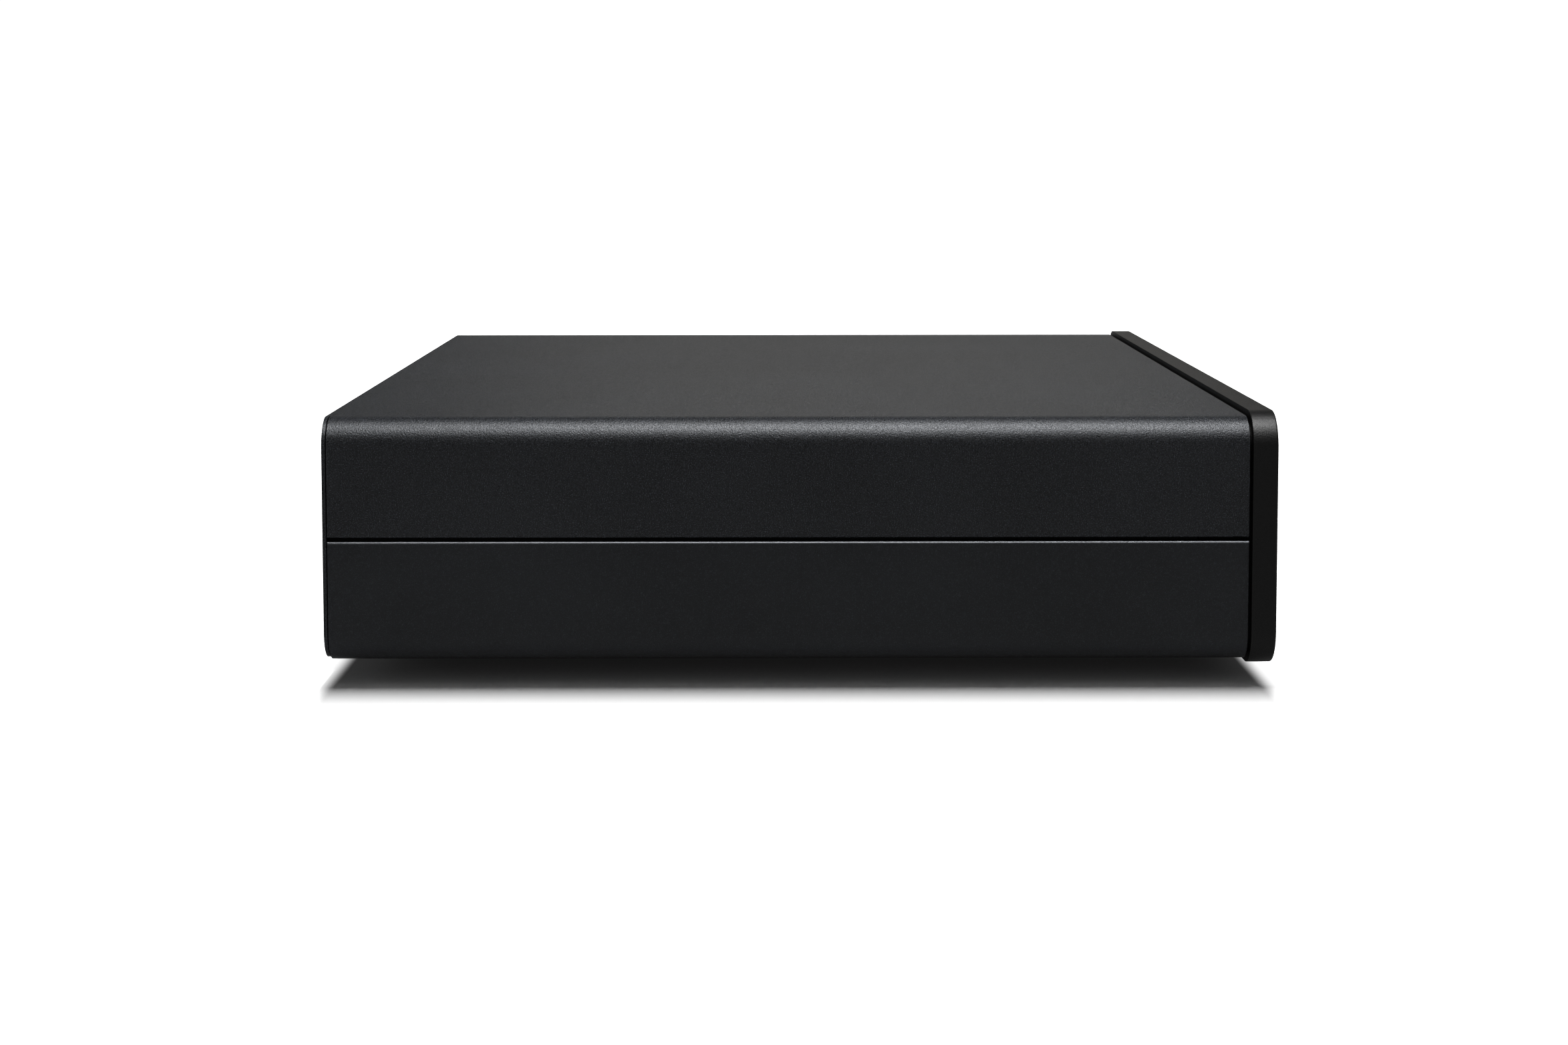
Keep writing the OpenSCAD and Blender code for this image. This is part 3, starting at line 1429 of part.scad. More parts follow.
lower_chassis();
top_cover();
rear_panel();
front_fascia();
front_subpanel();
left_joining_strip();
right_joining_strip();
foot_front_left();
foot_front_right();
foot_rear_left();
foot_rear_right();
case_screws();
fascia_screws();
board_screws();
board_standoffs();
power_button();
preset_button_1();
preset_button_2();
preset_button_3();
preset_button_4();
power_switch_plunger();
preset_switch_plunger_1();
preset_switch_plunger_2();
preset_switch_plunger_3();
preset_switch_plunger_4();
push_switches();
front_board();
status_light_pipe();
status_led();
main_board();
main_chips();
audio_capacitors();
board_connectors();
network_module_board();
network_module_shield();
module_heatsink();
power_supply_board();
insulation_sheet();
mains_fuse();
filter_choke();
bulk_capacitor();
switching_transformer();
rectifier_heatsink();
output_capacitors();
power_harness();
ribbon_cable();
antenna_leads();
mains_inlet();
mains_inlet_pins();
usb_socket();
usb_tongue();
ethernet_jack();
ethernet_contacts();
optical_socket();
optical_shutter();
antenna_sockets();
coaxial_jack_body();
analogue_jack_block();
phono_shells();
phono_contacts();
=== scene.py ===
import math

import bmesh
import bpy
from mathutils import Matrix, Vector


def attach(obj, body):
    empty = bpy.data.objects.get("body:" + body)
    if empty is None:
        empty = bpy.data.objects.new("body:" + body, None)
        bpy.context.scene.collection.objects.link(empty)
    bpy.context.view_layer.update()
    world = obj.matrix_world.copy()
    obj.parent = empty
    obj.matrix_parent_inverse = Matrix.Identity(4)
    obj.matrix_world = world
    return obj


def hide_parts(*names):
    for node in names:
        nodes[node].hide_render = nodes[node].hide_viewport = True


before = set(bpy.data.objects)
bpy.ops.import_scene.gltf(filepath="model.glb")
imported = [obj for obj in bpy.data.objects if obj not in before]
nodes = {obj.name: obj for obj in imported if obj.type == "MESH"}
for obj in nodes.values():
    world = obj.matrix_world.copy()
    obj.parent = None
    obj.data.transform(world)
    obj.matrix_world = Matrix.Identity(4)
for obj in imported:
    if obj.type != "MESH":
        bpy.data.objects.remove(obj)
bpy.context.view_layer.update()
MM = 0.001

# Camera of the photograph: place in metres, angles in degrees, lens and sensor in millimetres
CAMERA_PLACE = (-0.59279, 0.00001, 0.10371)
CAMERA_YAW = -0.1287
CAMERA_PITCH = 4.371
CAMERA_ROLL = -0.0525
CAMERA_LENS = 59.067
CAMERA_SENSOR = 36
CAMERA_SHIFT = -0.12

# Outer screws, in millimetres: domed heads with a cross recess. Those below UNDERSIDE have their heads down.
UNDERSIDE = 20
HEAD_DOME = 0.7
HEAD_STEPS = 4
HEAD_PROFILE = 0.6
RECESS_W = 0.9
RECESS_L = 3.0
RECESS_D = 1.0

# Cutter of a recess: its start above the head in millimetres, and its taper as shares of its size
RECESS_ABOVE = 0.3
RECESS_WIDE = 1.1
RECESS_NARROW = 0.55

# Thread of an antenna socket, in millimetres, then the rows of points in a turn and the slope of its flanks
THREAD_PITCH = 0.706
THREAD_DEPTH = 0.3
THREAD_START = 2.9
THREAD_FADE = 0.5
THREAD_END = 0.25
THREAD_ROWS = 8
THREAD_FLANK = 1.4

# Differences in metres that count as none, along an axis and in a radius
SAME_PLACE = 1e-6
SAME_RADIUS = 1e-5

# Angles in degrees: faces that join into one, edges that are softened, edges that are shaded sharp
FLAT_ANGLE = 0.2
SOFT_ANGLE = 40
SHARP_ANGLE = 50

# Powder coat: noise scales as shares of the grain, clouds per millimetre, and the noise at its flecks, which
# are partly grain and partly painted glints
GRAIN_COARSE = 0.7
GRAIN_FINE = 1.3
GRAIN_FLECK_GLINT = 1.2
COAT_CLOUD = 0.03
FLECK_GLINT_START = 0.54
FLECK_GLINT_FULL = 0.87
FINE_DEPTH = 0.55
COAT_IOR = 1.5

# Greys with a blue cast: the share of it that green gets, and the power of it that tints a coat's highlights
CAST_GREEN = 0.35
CAST_SHINE = 0.2

# How far the grain of a plain surface takes its roughness down and up
SMOOTHER = 0.04
ROUGHER = 0.06

# Painted highlight along a coat's edge: its grey, how blue that is, how metallic, and the least share where
# the grain is low
EDGE_HIGHLIGHT_GREY = 0.16
EDGE_HIGHLIGHT_BLUE = 1.12
EDGE_HIGHLIGHT_METAL = 0.7
EDGE_HIGHLIGHT_LEAST = 0.6

# Studio, in metres and watts: a softbox overhead for the sheen, a lamp high above, a panel at the back
SOFTBOX = {"place": (-0.346, -0.08, 1.05), "size": (0.646, 0.68), "power": 16.9}
FLOOR_LAMP = {"place": (1.50, -0.01, 6.0), "size": (2.1, 0.3), "power": 520.0}
BACK_PANEL = {"place": (3.0, -0.145, 1.12), "size": (0.62, 1.11), "power": 1.67}
PANEL_TINT = (1.0, 0.965, 0.9)

# Floor: half its side and its drop in metres, its colour, and its strength in glossy reflections
FLOOR_HALF = 6
FLOOR_DROP = 0.0002
FLOOR_WHITE = 0.88
FLOOR_ROUGH = 0.9
FLOOR_GLOSS = 0.1
FLOOR_SHEEN = 0.24

# Shaded ground under the case, in millimetres: its middle, its half sides, and the rise of painted light
# around it; the least strengths are a faint painted light in the shadow and a painted shadow in reflections
SHADE_MIDDLE_Y = -3.4
SHADE_HALF_X = 107
SHADE_HALF_Y = 92
WHITE_RISE_X = (25, 90)
WHITE_RISE_Y = (-4.5, -0.5)
WHITE_LEAST = 0.006
SHEEN_RISE = (-10, 6)
SHEEN_LEAST = 0.012

# Surround, as strengths at the start and end of a range of one direction: behind, at both ends, by height
SKY_BEHIND = {"low": 0.06, "high": 0.155, "start": -0.2, "end": 0.9}
SKY_ENDS = {"low": 0.0, "high": 0.5, "start": 0.6, "end": 0.95}
SKY_UPPER = {"low": 1.0, "high": 0.15, "start": 0.20, "end": 0.55}
SKY_LOWER = {"low": 0.0, "high": 1.0, "start": 0.06, "end": 0.26}
SKY_WHITE = 1.05


def node(tree, kind, **values):
    """Adds a shader node and sets its inputs by name."""
    made = tree.nodes.new(kind)
    for name, value in values.items():
        made.inputs[name.replace("_", " ")].default_value = value
    return made


def wire(tree, source, target):
    """Links two sockets."""
    tree.links.new(source, target)


def surface(name):
    """A new material with its tree, its main shader and object coordinates in millimetres."""
    made = bpy.data.materials.new(name)
    made.use_nodes = True
    tree = made.node_tree
    shader = tree.nodes["Principled BSDF"]
    place = tree.nodes.new("ShaderNodeTexCoord")
    scaled = node(tree, "ShaderNodeMapping", Scale=(1 / MM, 1 / MM, 1 / MM))
    wire(tree, place.outputs["Object"], scaled.inputs["Vector"])
    return made, tree, shader, scaled.outputs["Vector"]


def noise(tree, vector, scale, detail=2.0, rough=0.5):
    """A noise value, with its scale in features per millimetre."""
    made = node(tree, "ShaderNodeTexNoise", Scale=scale, Detail=detail, Roughness=rough)
    wire(tree, vector, made.inputs["Vector"])
    return made.outputs["Fac"]


def spread(tree, value, low, high, start=0.3, end=0.7, smooth=False):
    """Maps a value from start and end to low and high, in a straight or a smooth rise."""
    made = node(tree, "ShaderNodeMapRange", From_Min=start, From_Max=end, To_Min=low, To_Max=high)
    if smooth:
        made.interpolation_type = "SMOOTHSTEP"
    wire(tree, value, made.inputs["Value"])
    return made.outputs["Result"]


def shades(tree, value, dark, light, start=0.35, end=0.65):
    """Mixes two colours by a value."""
    made = tree.nodes.new("ShaderNodeValToRGB")
    made.color_ramp.elements[0].position = start
    made.color_ramp.elements[1].position = end
    made.color_ramp.elements[0].color = (*dark, 1)
    made.color_ramp.elements[1].color = (*light, 1)
    wire(tree, value, made.inputs["Fac"])
    return made.outputs["Color"]


def bump(tree, shader, height, depth_mm, below=None):
    """Raises the surface by a height, over an earlier bump if there is one."""
    made = node(tree, "ShaderNodeBump", Strength=1.0, Distance=depth_mm * MM)
    wire(tree, height, made.inputs["Height"])
    if below:
        wire(tree, below, made.inputs["Normal"])
    wire(tree, made.outputs["Normal"], shader.inputs["Normal"])
    return made.outputs["Normal"]


def math_node(tree, operation, first, second=0.0):
    """Works out one value from two, each a socket or a number."""
    made = tree.nodes.new("ShaderNodeMath")
    made.operation = operation
    for socket, value in zip(made.inputs, (first, second)):
        if isinstance(value, (int, float)):
            socket.default_value = value
        else:
            wire(tree, value, socket)
    return made.outputs["Value"]


def axes(tree, vector):
    """The three coordinates of a vector, by their letters."""
    parts = tree.nodes.new("ShaderNodeSeparateXYZ")
    wire(tree, vector, parts.inputs["Vector"])
    return parts.outputs


def beyond(tree, value, limit):
    """How far a coordinate is outside plus or minus a limit."""
    return math_node(tree, "SUBTRACT", math_node(tree, "ABSOLUTE", value), limit)


def grey(value, blue=1.04):
    """A grey whose blue is stronger than its red by a factor."""
    return (value, value * (1 + (blue - 1) * CAST_GREEN), value * blue)


def blend(tree, share, first, second):
    """Mixes a colour socket with a fixed colour by a share."""
    mix = tree.nodes.new("ShaderNodeMix")
    mix.data_type = "RGBA"
    wire(tree, share, mix.inputs[0])
    wire(tree, first, mix.inputs[6])
    mix.inputs[7].default_value = (*second, 1)
    return mix.outputs[2]


def powder_coat(name, dark, light, rough, grain_mm, depth_mm, fleck_and_glint, gloss=0.5, blue=1.0, highlight_band_mm=None,
                matt=0.05):
    """Textured powder paint: a wormy grain in two sizes, with paler flecks that are partly grain and partly
    painted glints. A band of heights in mm marks a painted highlight along an edge, pale and partly
    metallic, and matt is how much the roughness varies."""
    made, tree, shader, vector = surface(name)
    coarse = noise(tree, vector, GRAIN_COARSE / grain_mm, rough=0.6)
    fine = noise(tree, vector, GRAIN_FINE / grain_mm, rough=0.55)
    cloud = noise(tree, vector, COAT_CLOUD)
    colour = shades(tree, cloud, grey(dark, blue), grey(light, blue))
    # Paler flecks: partly grain, partly painted glints where the grain would catch the light
    specks_and_glints = noise(tree, vector, GRAIN_FLECK_GLINT / grain_mm, detail=1.0)
    specks_and_glints = spread(tree, specks_and_glints, 0.0, 1.0, FLECK_GLINT_START, FLECK_GLINT_FULL)
    colour = blend(tree, specks_and_glints, colour, grey(fleck_and_glint, blue))
    # A pale, partly metallic band at set heights: a painted highlight on a rounded edge
    if highlight_band_mm:
        highlight_band = spread(tree, axes(tree, vector)["Z"], 0.0, 1.0, *highlight_band_mm)
        painted_highlight = math_node(tree, "MULTIPLY", highlight_band, spread(tree, coarse, EDGE_HIGHLIGHT_LEAST, 1.0))
        colour = blend(tree, painted_highlight, colour, grey(EDGE_HIGHLIGHT_GREY, EDGE_HIGHLIGHT_BLUE))
        wire(tree, math_node(tree, "MULTIPLY", painted_highlight, EDGE_HIGHLIGHT_METAL), shader.inputs["Metallic"])
    wire(tree, colour, shader.inputs["Base Color"])
    wire(tree, spread(tree, fine, rough - matt, rough + matt), shader.inputs["Roughness"])
    under = bump(tree, shader, fine, depth_mm * FINE_DEPTH)
    bump(tree, shader, coarse, depth_mm, under)
    shader.inputs["IOR"].default_value = COAT_IOR
    shader.inputs["Specular IOR Level"].default_value = gloss
    tint = blue ** CAST_SHINE
    shader.inputs["Specular Tint"].default_value = (*(c / tint for c in grey(1.0, tint)), 1)
    return made


def plain(name, dark, light, rough, metal=0.0, grain=1.5, depth_mm=0.004, cloud=0.15, coat=0.0,
          second=None):
    """A moulded, plated or lacquered surface with a little mottling and grain. A second colour starts
    beyond an x in mm."""
    made, tree, shader, vector = surface(name)
    mottle = noise(tree, vector, cloud, detail=3.0)
    fine = noise(tree, vector, grain)
    colour = shades(tree, mottle, dark, light)
    if second:
        start, other = second
        colour = blend(tree, math_node(tree, "GREATER_THAN", axes(tree, vector)["X"], start), colour, other)
    wire(tree, colour, shader.inputs["Base Color"])
    wire(tree, spread(tree, fine, rough - SMOOTHER, rough + ROUGHER), shader.inputs["Roughness"])
    bump(tree, shader, fine, depth_mm)
    shader.inputs["Metallic"].default_value = metal
    shader.inputs["Coat Weight"].default_value = coat
    return made


def groups(form):
    """The separate solids of a mesh, as lists of vertices."""
    left = set(form.verts)
    found = []
    while left:
        reached = [left.pop()]
        for vert in reached:
            for edge in vert.link_edges:
                other = edge.other_vert(vert)
                if other in left:
                    left.discard(other)
                    reached.append(other)
        found.append(reached)
    return found


def add_recess(cuts, place):
    """Adds a tapered cross to the cuts, at the middle of a screw's head."""
    thin, long = RECESS_W / 2, RECESS_L / 2
    cross = ((thin, long), (-thin, long), (-thin, thin), (-long, thin), (-long, -thin), (-thin, -thin),
             (-thin, -long), (thin, -long), (thin, -thin), (long, -thin), (long, thin), (thin, thin))
    rows = []
    for depth, size in ((-RECESS_ABOVE, RECESS_WIDE), (RECESS_D, RECESS_NARROW)):
        points = [place @ (Vector((x * size, y * size, depth)) * MM) for x, y in cross]
        rows.append([cuts.verts.new(point) for point in points])
    for i in range(len(cross)):
        cuts.faces.new((rows[0][i], rows[0][i - 1], rows[1][i - 1], rows[1][i]))
    cuts.faces.new(rows[0])
    cuts.faces.new(rows[1][::-1])


def pan_heads(form, cuts):
    """Domes the heads of screws, at the back or underneath, and adds a cross recess for each to the cuts."""
    for verts in groups(form):
        low = Vector([min(v.co[i] for v in verts) for i in range(3)])
        high = Vector([max(v.co[i] for v in verts) for i in range(3)])
        middle = (low + high) / 2
        if middle.z > UNDERSIDE * MM:
            middle.y, turn = high.y, Matrix.Rotation(math.radians(90), 4, "X")
            rim = [v for v in verts if abs(v.co.y - high.y) < SAME_PLACE]
        else:
            middle.z, turn = low.z, Matrix.Identity(4)
            rim = [v for v in verts if abs(v.co.z - low.z) < SAME_PLACE]
        edges = [e for e in form.edges if e.verts[0] in rim and e.verts[1] in rim]
        bmesh.ops.bevel(form, geom=edges, offset=HEAD_DOME * MM, segments=HEAD_STEPS, profile=HEAD_PROFILE,
                        affect="EDGES")
        add_recess(cuts, Matrix.Translation(middle) @ turn)
    bmesh.ops.recalc_face_normals(cuts, faces=cuts.faces)


def polar(vert, axis):
    """Radius and angle of a vertex about an axis along y."""
    x, z = vert.co.x - axis.x, vert.co.z - axis.z
    return math.hypot(x, z), math.atan2(z, x)


def on_circle(axis, radius, angle, y):
    """A point on a circle about an axis along y."""
    return axis.x + radius * math.cos(angle), y, axis.z + radius * math.sin(angle)


def threads(form, cuts):
    """Cuts a screw thread into the barrels of the antenna sockets, up to their mouths."""
    tip = max(v.co.y for v in form.verts)
    for verts in groups(form):
        mouth = [v for v in verts if abs(v.co.y - tip) < SAME_PLACE]
        if not mouth:
            continue
        axis = Vector([sum(v.co[i] for v in mouth) / len(mouth) for i in range(3)])
        outer = max(polar(v, axis)[0] for v in mouth)
        skin = [v for v in verts if abs(polar(v, axis)[0] - outer) < SAME_RADIUS]
        base = min(v.co.y for v in skin)
        ends = []
        for y in (base, tip):
            ring = [v for v in skin if abs(v.co.y - y) < SAME_PLACE]
            ends.append(sorted(ring, key=lambda v: polar(v, axis)[1]))
        walls = [f for f in form.faces if all(v in skin for v in f.verts)]
        walls = [f for f in walls if len({round(v.co.y, 6) for v in f.verts}) == 2]
        bmesh.ops.delete(form, geom=walls, context="FACES")
        start = base + THREAD_START * MM
        last = tip - THREAD_END * MM
        count = int((tip - THREAD_START * MM - base) / (THREAD_PITCH * MM) * THREAD_ROWS)
        angles = [polar(v, axis)[1] for v in ends[0]]
        rows = [ends[0]]
        for k in range(count):
            y = start + (last - start) * k / (count - 1)
            fade = min(1.0, (y - start) / (THREAD_FADE * MM))
            row = []
            for angle in angles:
                turn = (y / (THREAD_PITCH * MM) - angle / math.tau) % 1.0
                cut = fade * min(1.0, THREAD_FLANK * (1 - abs(2 * turn - 1)))
                row.append(form.verts.new(on_circle(axis, outer - THREAD_DEPTH * MM * cut, angle, y)))
            rows.append(row)
        for v in ends[1]:
            v.co = on_circle(axis, outer - THREAD_DEPTH * MM, polar(v, axis)[1], v.co.y)
        rows.append(ends[1])
        for lower, upper in zip(rows, rows[1:]):
            for i in range(len(lower)):
                form.faces.new((lower[i - 1], lower[i], upper[i], upper[i - 1]))
    bmesh.ops.recalc_face_normals(form, faces=form.faces)


def cut_out(made, cuts):
    """Takes the solids of the cuts away from an object."""
    mesh = bpy.data.meshes.new("recess")
    cuts.to_mesh(mesh)
    tool = bpy.data.objects.new("recess", mesh)
    bpy.context.scene.collection.objects.link(tool)
    cut = made.modifiers.new("recess", "BOOLEAN")
    cut.operation = "DIFFERENCE"
    cut.solver = "EXACT"
    cut.object = tool
    ready = made.evaluated_get(bpy.context.evaluated_depsgraph_get())
    made.data = bpy.data.meshes.new_from_object(ready)
    made.modifiers.clear()
    bpy.data.objects.remove(tool)


def finer(name, width_mm, segments=2, body="case_body", material=None, carve=None):
    """Stands for a CAD node: the same solid with its sharp edges softened, and carved where a function
    says how."""
    made = bpy.data.objects.new(name + "_finish", nodes[name].data.copy())
    bpy.context.scene.collection.objects.link(made)
    form = bmesh.new()
    form.from_mesh(made.data)
    bmesh.ops.remove_doubles(form, verts=form.verts, dist=SAME_PLACE)
    bmesh.ops.dissolve_limit(form, angle_limit=math.radians(FLAT_ANGLE), verts=form.verts, edges=form.edges)
    cuts = bmesh.new()
    if carve:
        carve(form, cuts)
    form.to_mesh(made.data)
    form.free()
    if cuts.faces:
        cut_out(made, cuts)
    cuts.free()
    if width_mm:
        edge = made.modifiers.new("edge", "BEVEL")
        edge.width = width_mm * MM
        edge.segments = segments
        edge.limit_method = "ANGLE"
        edge.angle_limit = math.radians(SOFT_ANGLE)
    made.data.shade_smooth()
    made.data.set_sharp_from_angle(angle=math.radians(SHARP_ANGLE))
    made.data.materials.clear()
    made.data.materials.append(material)
    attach(made, body)
    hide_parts(name)


def dress(material, *names):
    """Gives CAD nodes a material of their own."""
    for name in names:
        mesh = nodes[name].data
        mesh.materials.clear()
        mesh.materials.append(material)


def lamp(name, setting):
    """A soft rectangular lamp that shines down."""
    box = bpy.data.lights.new(name, "AREA")
    box.shape = "RECTANGLE"
    box.size, box.size_y = setting["size"]
    box.energy = setting["power"]
    made = bpy.data.objects.new(name, box)
    made.location = setting["place"]
    bpy.context.scene.collection.objects.link(made)
    return made


def floor_white():
    """Pale floor that is white to the camera around the case's shadow, its edges trimming the shadow's ends,
    with a faint painted light inside it; dimmer in glossy reflections, with a painted shadow near the case.
    """
    made, tree, shader, vector = surface("floor_white")
    shader.inputs["Roughness"].default_value = FLOOR_ROUGH
    shader.inputs["Specular IOR Level"].default_value = FLOOR_GLOSS
    ray = tree.nodes.new("ShaderNodeLightPath").outputs
    pale = spread(tree, ray["Is Glossy Ray"], FLOOR_WHITE, 0.0, 0.0, 1.0)
    wire(tree, pale, shader.inputs["Base Color"])
    place = axes(tree, vector)
    out_x = beyond(tree, place["X"], SHADE_HALF_X)
    out_y = beyond(tree, math_node(tree, "ADD", place["Y"], -SHADE_MIDDLE_Y), SHADE_HALF_Y)
    white_x = spread(tree, out_x, WHITE_LEAST, 1.0, *WHITE_RISE_X, smooth=True)
    white_y = spread(tree, out_y, WHITE_LEAST, 1.0, *WHITE_RISE_Y, smooth=True)
    seen = math_node(tree, "MAXIMUM", ray["Is Camera Ray"], ray["Is Transmission Ray"])
    white = math_node(tree, "MULTIPLY", seen, math_node(tree, "MAXIMUM", white_x, white_y))
    out = math_node(tree, "MAXIMUM", out_x, out_y)
    sheen = spread(tree, out, SHEEN_LEAST, FLOOR_SHEEN, *SHEEN_RISE, smooth=True)
    sheen = math_node(tree, "MULTIPLY", ray["Is Glossy Ray"], sheen)
    shader.inputs["Emission Color"].default_value = (1, 1, 1, 1)
    wire(tree, math_node(tree, "MAXIMUM", white, sheen), shader.inputs["Emission Strength"])
    return made


def surround():
    """A world that is white to the camera, with a faint glow behind the case and at both its ends."""
    world = bpy.data.worlds.new("studio")
    bpy.context.scene.world = world
    world.use_nodes = True
    tree = world.node_tree
    back = tree.nodes["Background"]
    ray = tree.nodes.new("ShaderNodeLightPath").outputs
    way = axes(tree, tree.nodes.new("ShaderNodeTexCoord").outputs["Generated"])
    behind = spread(tree, way["X"], **SKY_BEHIND)
    ends = spread(tree, math_node(tree, "ABSOLUTE", way["Y"]), **SKY_ENDS)
    glow = math_node(tree, "ADD", behind, ends)
    glow = math_node(tree, "MULTIPLY", glow, spread(tree, way["Z"], **SKY_LOWER))
    glow = math_node(tree, "MULTIPLY", glow, spread(tree, way["Z"], **SKY_UPPER))
    seen = math_node(tree, "MULTIPLY", ray["Is Camera Ray"], SKY_WHITE)
    wire(tree, math_node(tree, "MAXIMUM", seen, glow), back.inputs["Strength"])
    back.inputs["Color"].default_value = (1, 1, 1, 1)


def studio():
    """Pale floor, soft lamps and a white surround."""
    mesh = bpy.data.meshes.new("floor")
    form = bmesh.new()
    bmesh.ops.create_grid(form, x_segments=1, y_segments=1, size=FLOOR_HALF)
    form.to_mesh(mesh)
    form.free()
    floor = bpy.data.objects.new("floor", mesh)
    floor.location = (0, 0, -FLOOR_DROP)
    bpy.context.scene.collection.objects.link(floor)
    mesh.materials.append(floor_white())
    lamp("softbox", SOFTBOX).visible_diffuse = False
    lamp("floor_lamp", FLOOR_LAMP).visible_glossy = False
    panel = lamp("back_panel", BACK_PANEL)
    panel.rotation_euler = (0, math.radians(90), 0)
    panel.visible_diffuse = False
    panel.visible_camera = False
    panel.data.color = PANEL_TINT
    surround()


def camera():
    """Camera that looks along x, turned by its yaw, its pitch and its roll."""
    yaw, pitch, roll = (math.radians(a) for a in (CAMERA_YAW, CAMERA_PITCH, CAMERA_ROLL))
    turn = Matrix.Rotation(yaw, 3, "Z")
    ahead, right, up = turn @ Vector((1, 0, 0)), turn @ Vector((0, -1, 0)), Vector((0, 0, 1))
    ahead, up = (math.cos(pitch) * ahead - math.sin(pitch) * up,
                 math.cos(pitch) * up + math.sin(pitch) * ahead)
    right, up = (math.cos(roll) * right + math.sin(roll) * up,
                 math.cos(roll) * up - math.sin(roll) * right)
    data = bpy.data.cameras.new("camera")
    data.sensor_fit = "HORIZONTAL"
    data.sensor_width = CAMERA_SENSOR
    data.lens = CAMERA_LENS
    data.shift_y = CAMERA_SHIFT
    made = bpy.data.objects.new("camera", data)
    pose = Matrix((right, up, -ahead)).transposed().to_4x4()
    pose.translation = Vector(CAMERA_PLACE)
    made.matrix_world = pose
    bpy.context.scene.collection.objects.link(made)
    bpy.context.scene.camera = made


camera()
studio()

# Paints of the case. The painted highlight of the lower chassis is the band at the seam, along its rounded
# edge.
# The top cover's flecks are paler than the lower chassis's: more painted glints on the upper part.
coat = powder_coat("case_powder_coat", 0.0045, 0.0075, rough=0.40, grain_mm=0.24, depth_mm=0.07,
                   fleck_and_glint=0.082, blue=1.35, matt=0.22)
lower_coat = powder_coat("lower_powder_coat", 0.0075, 0.0105, rough=0.36, grain_mm=0.22, depth_mm=0.035,
                         fleck_and_glint=0.04, blue=1.35, highlight_band_mm=(26.52, 26.62))
plate = powder_coat("plate_coat", 0.0004, 0.001, rough=0.42, grain_mm=0.2, depth_mm=0.035,
                    fleck_and_glint=0.002, gloss=0.44)
# Coat of the joining strips and front subpanel, darker and duller than the case coat: partly their black
# paint, partly painted shade in the seam and the gap behind the front plate
black_and_seam_shade = powder_coat("black_and_seam_shade", 0.001, 0.002, rough=0.6, grain_mm=0.3, depth_mm=0.05,
                         fleck_and_glint=0.002, gloss=0.1)

# Plastics and rubber
black = plain("black_plastic", grey(0.012), grey(0.018), rough=0.5)
rubber = plain("foot_rubber", grey(0.010), grey(0.016), rough=0.75, grain=2.0, depth_mm=0.02)
cream = plain("cream_plastic", (0.62, 0.58, 0.48), (0.72, 0.69, 0.60), rough=0.45)
white = plain("white_plastic", (0.75, 0.75, 0.74), (0.85, 0.85, 0.84), rough=0.35)
orange = plain("orange_plastic", (0.62, 0.17, 0.015), (0.72, 0.22, 0.03), rough=0.35)
red = plain("red_plastic", (0.40, 0.012, 0.012), (0.50, 0.03, 0.03), rough=0.35)
film = plain("insulation_film", (0.60, 0.59, 0.52), (0.70, 0.69, 0.62), rough=0.4)
ribbon = plain("ribbon_grey", (0.50, 0.52, 0.55), (0.58, 0.60, 0.63), rough=0.45)
clear = plain("clear_pipe", (0.55, 0.60, 0.66), (0.65, 0.70, 0.76), rough=0.15)

# Metals
zinc = plain("zinc_plate", (0.50, 0.51, 0.53), (0.62, 0.63, 0.64), rough=0.35, metal=1.0)
steel = plain("black_screw", grey(0.02), grey(0.035), rough=0.35, metal=0.6)
button = plain("button_anodised", grey(0.015), grey(0.022), rough=0.32, metal=0.3, grain=4.0)
nickel = plain("nickel_plate", (0.62, 0.60, 0.56), (0.72, 0.70, 0.66), rough=0.22, metal=1.0)
gold = plain("gold_plate", (0.72, 0.48, 0.16), (0.83, 0.60, 0.24), rough=0.22, metal=1.0)
heatsink = plain("sink_aluminium", (0.60, 0.60, 0.62), (0.72, 0.72, 0.74), rough=0.35, metal=1.0)
fuse = plain("fuse_cap", (0.62, 0.62, 0.60), (0.74, 0.74, 0.72), rough=0.2, metal=1.0)
copper = plain("copper_winding", (0.42, 0.14, 0.05), (0.60, 0.24, 0.10), rough=0.3, metal=0.8, grain=0.8,
               depth_mm=0.05)

# Boards and what stands on them
green = plain("board_green", (0.012, 0.09, 0.04), (0.02, 0.13, 0.06), rough=0.4, grain=0.6, depth_mm=0.01,
              cloud=0.3, coat=0.3)
blue = plain("module_blue", (0.012, 0.03, 0.12), (0.02, 0.05, 0.17), rough=0.4, grain=0.6, depth_mm=0.01,
             cloud=0.3, coat=0.3)
can_black = plain("can_black", grey(0.015), grey(0.025), rough=0.3)
can_blue = plain("can_blue", (0.02, 0.03, 0.11), (0.03, 0.045, 0.16), rough=0.3)
ferrite = plain("ferrite", grey(0.05), grey(0.07), rough=0.6)

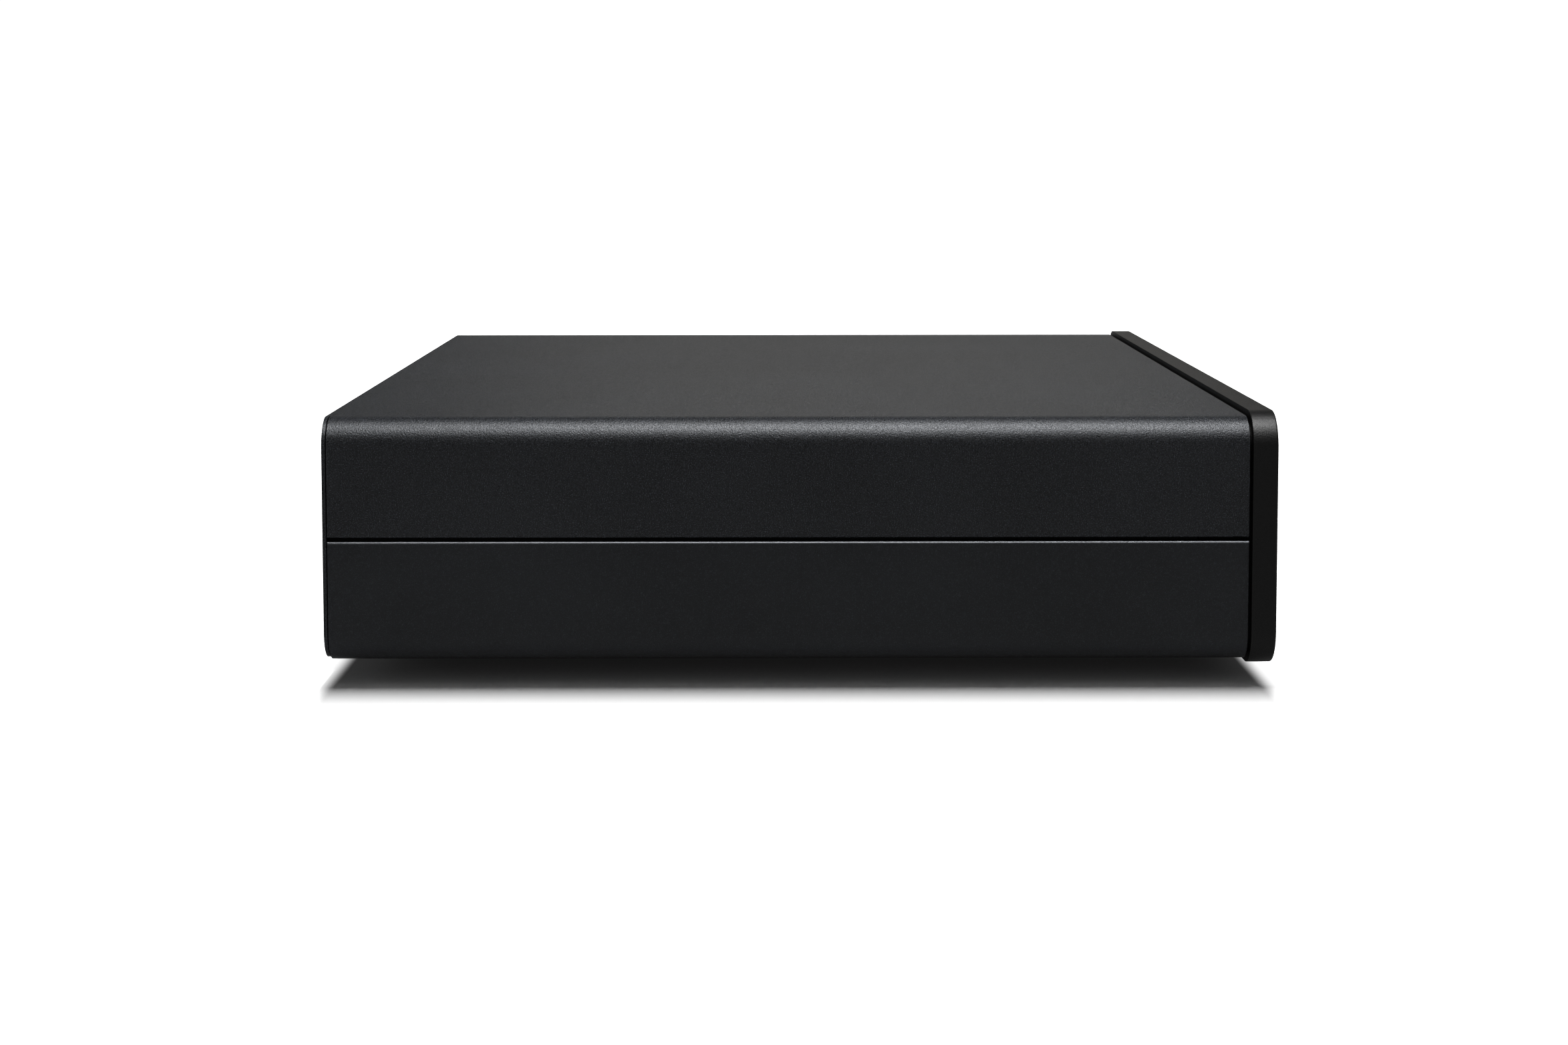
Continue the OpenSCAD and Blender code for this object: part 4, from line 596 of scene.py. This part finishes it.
# The pair of analogue jacks: the left one is white and the right one red
block_x = [v.co.x / MM for v in nodes["analogue_jack_block"].data.vertices]
jacks = plain("white_and_red", (0.68, 0.68, 0.66), (0.76, 0.76, 0.74), rough=0.35,
              second=((min(block_x) + max(block_x)) / 2, (0.45, 0.02, 0.02)))

# Case, feet and fasteners
finer("top_cover", 0.12, 3, material=coat)
finer("lower_chassis", 0.16, 3, material=lower_coat)
finer("rear_panel", 0.1, 2, material=coat)
finer("front_fascia", 0.1, 2, material=plate)
dress(black_and_seam_shade, "left_joining_strip", "right_joining_strip", "front_subpanel")
dress(zinc, "fascia_screws", "board_screws", "board_standoffs")
finer("case_screws", 0, material=steel, carve=pan_heads)
for foot in ("foot_front_left", "foot_front_right", "foot_rear_left", "foot_rear_right"):
    finer(foot, 0.4, 3, material=rubber)

# Sockets at the back
finer("antenna_sockets", 0, material=gold, carve=threads)
finer("mains_inlet", 0.25, 3, material=black)
finer("optical_socket", 0.2, 2, material=black)
finer("ethernet_jack", 0.12, 2, material=nickel)
finer("usb_socket", 0.1, 2, material=nickel)
finer("phono_shells", 0.12, 2, material=nickel)
finer("coaxial_jack_body", 0.25, 2, material=orange)
finer("analogue_jack_block", 0.25, 2, material=jacks)
dress(nickel, "mains_inlet_pins")
dress(white, "usb_tongue")
dress(gold, "ethernet_contacts", "phono_contacts")
dress(black, "optical_shutter")

# Buttons and what they press
dress(button, "power_button", "preset_button_1", "preset_button_2", "preset_button_3", "preset_button_4")
dress(black, "power_switch_plunger", "preset_switch_plunger_1", "preset_switch_plunger_2",
      "preset_switch_plunger_3", "preset_switch_plunger_4", "push_switches")
dress(clear, "status_light_pipe")
dress(white, "status_led")

# Inside
dress(green, "front_board", "main_board", "power_supply_board")
dress(blue, "network_module_board")
dress(black, "main_chips", "antenna_leads")
dress(can_blue, "audio_capacitors")
dress(cream, "board_connectors")
dress(nickel, "network_module_shield")
dress(heatsink, "module_heatsink", "rectifier_heatsink")
dress(film, "insulation_sheet")
dress(fuse, "mains_fuse")
dress(copper, "filter_choke")
dress(can_black, "bulk_capacitor", "output_capacitors")
dress(ferrite, "switching_transformer")
dress(red, "power_harness")
dress(ribbon, "ribbon_cable")

bpy.context.scene.view_settings.view_transform = "Standard"
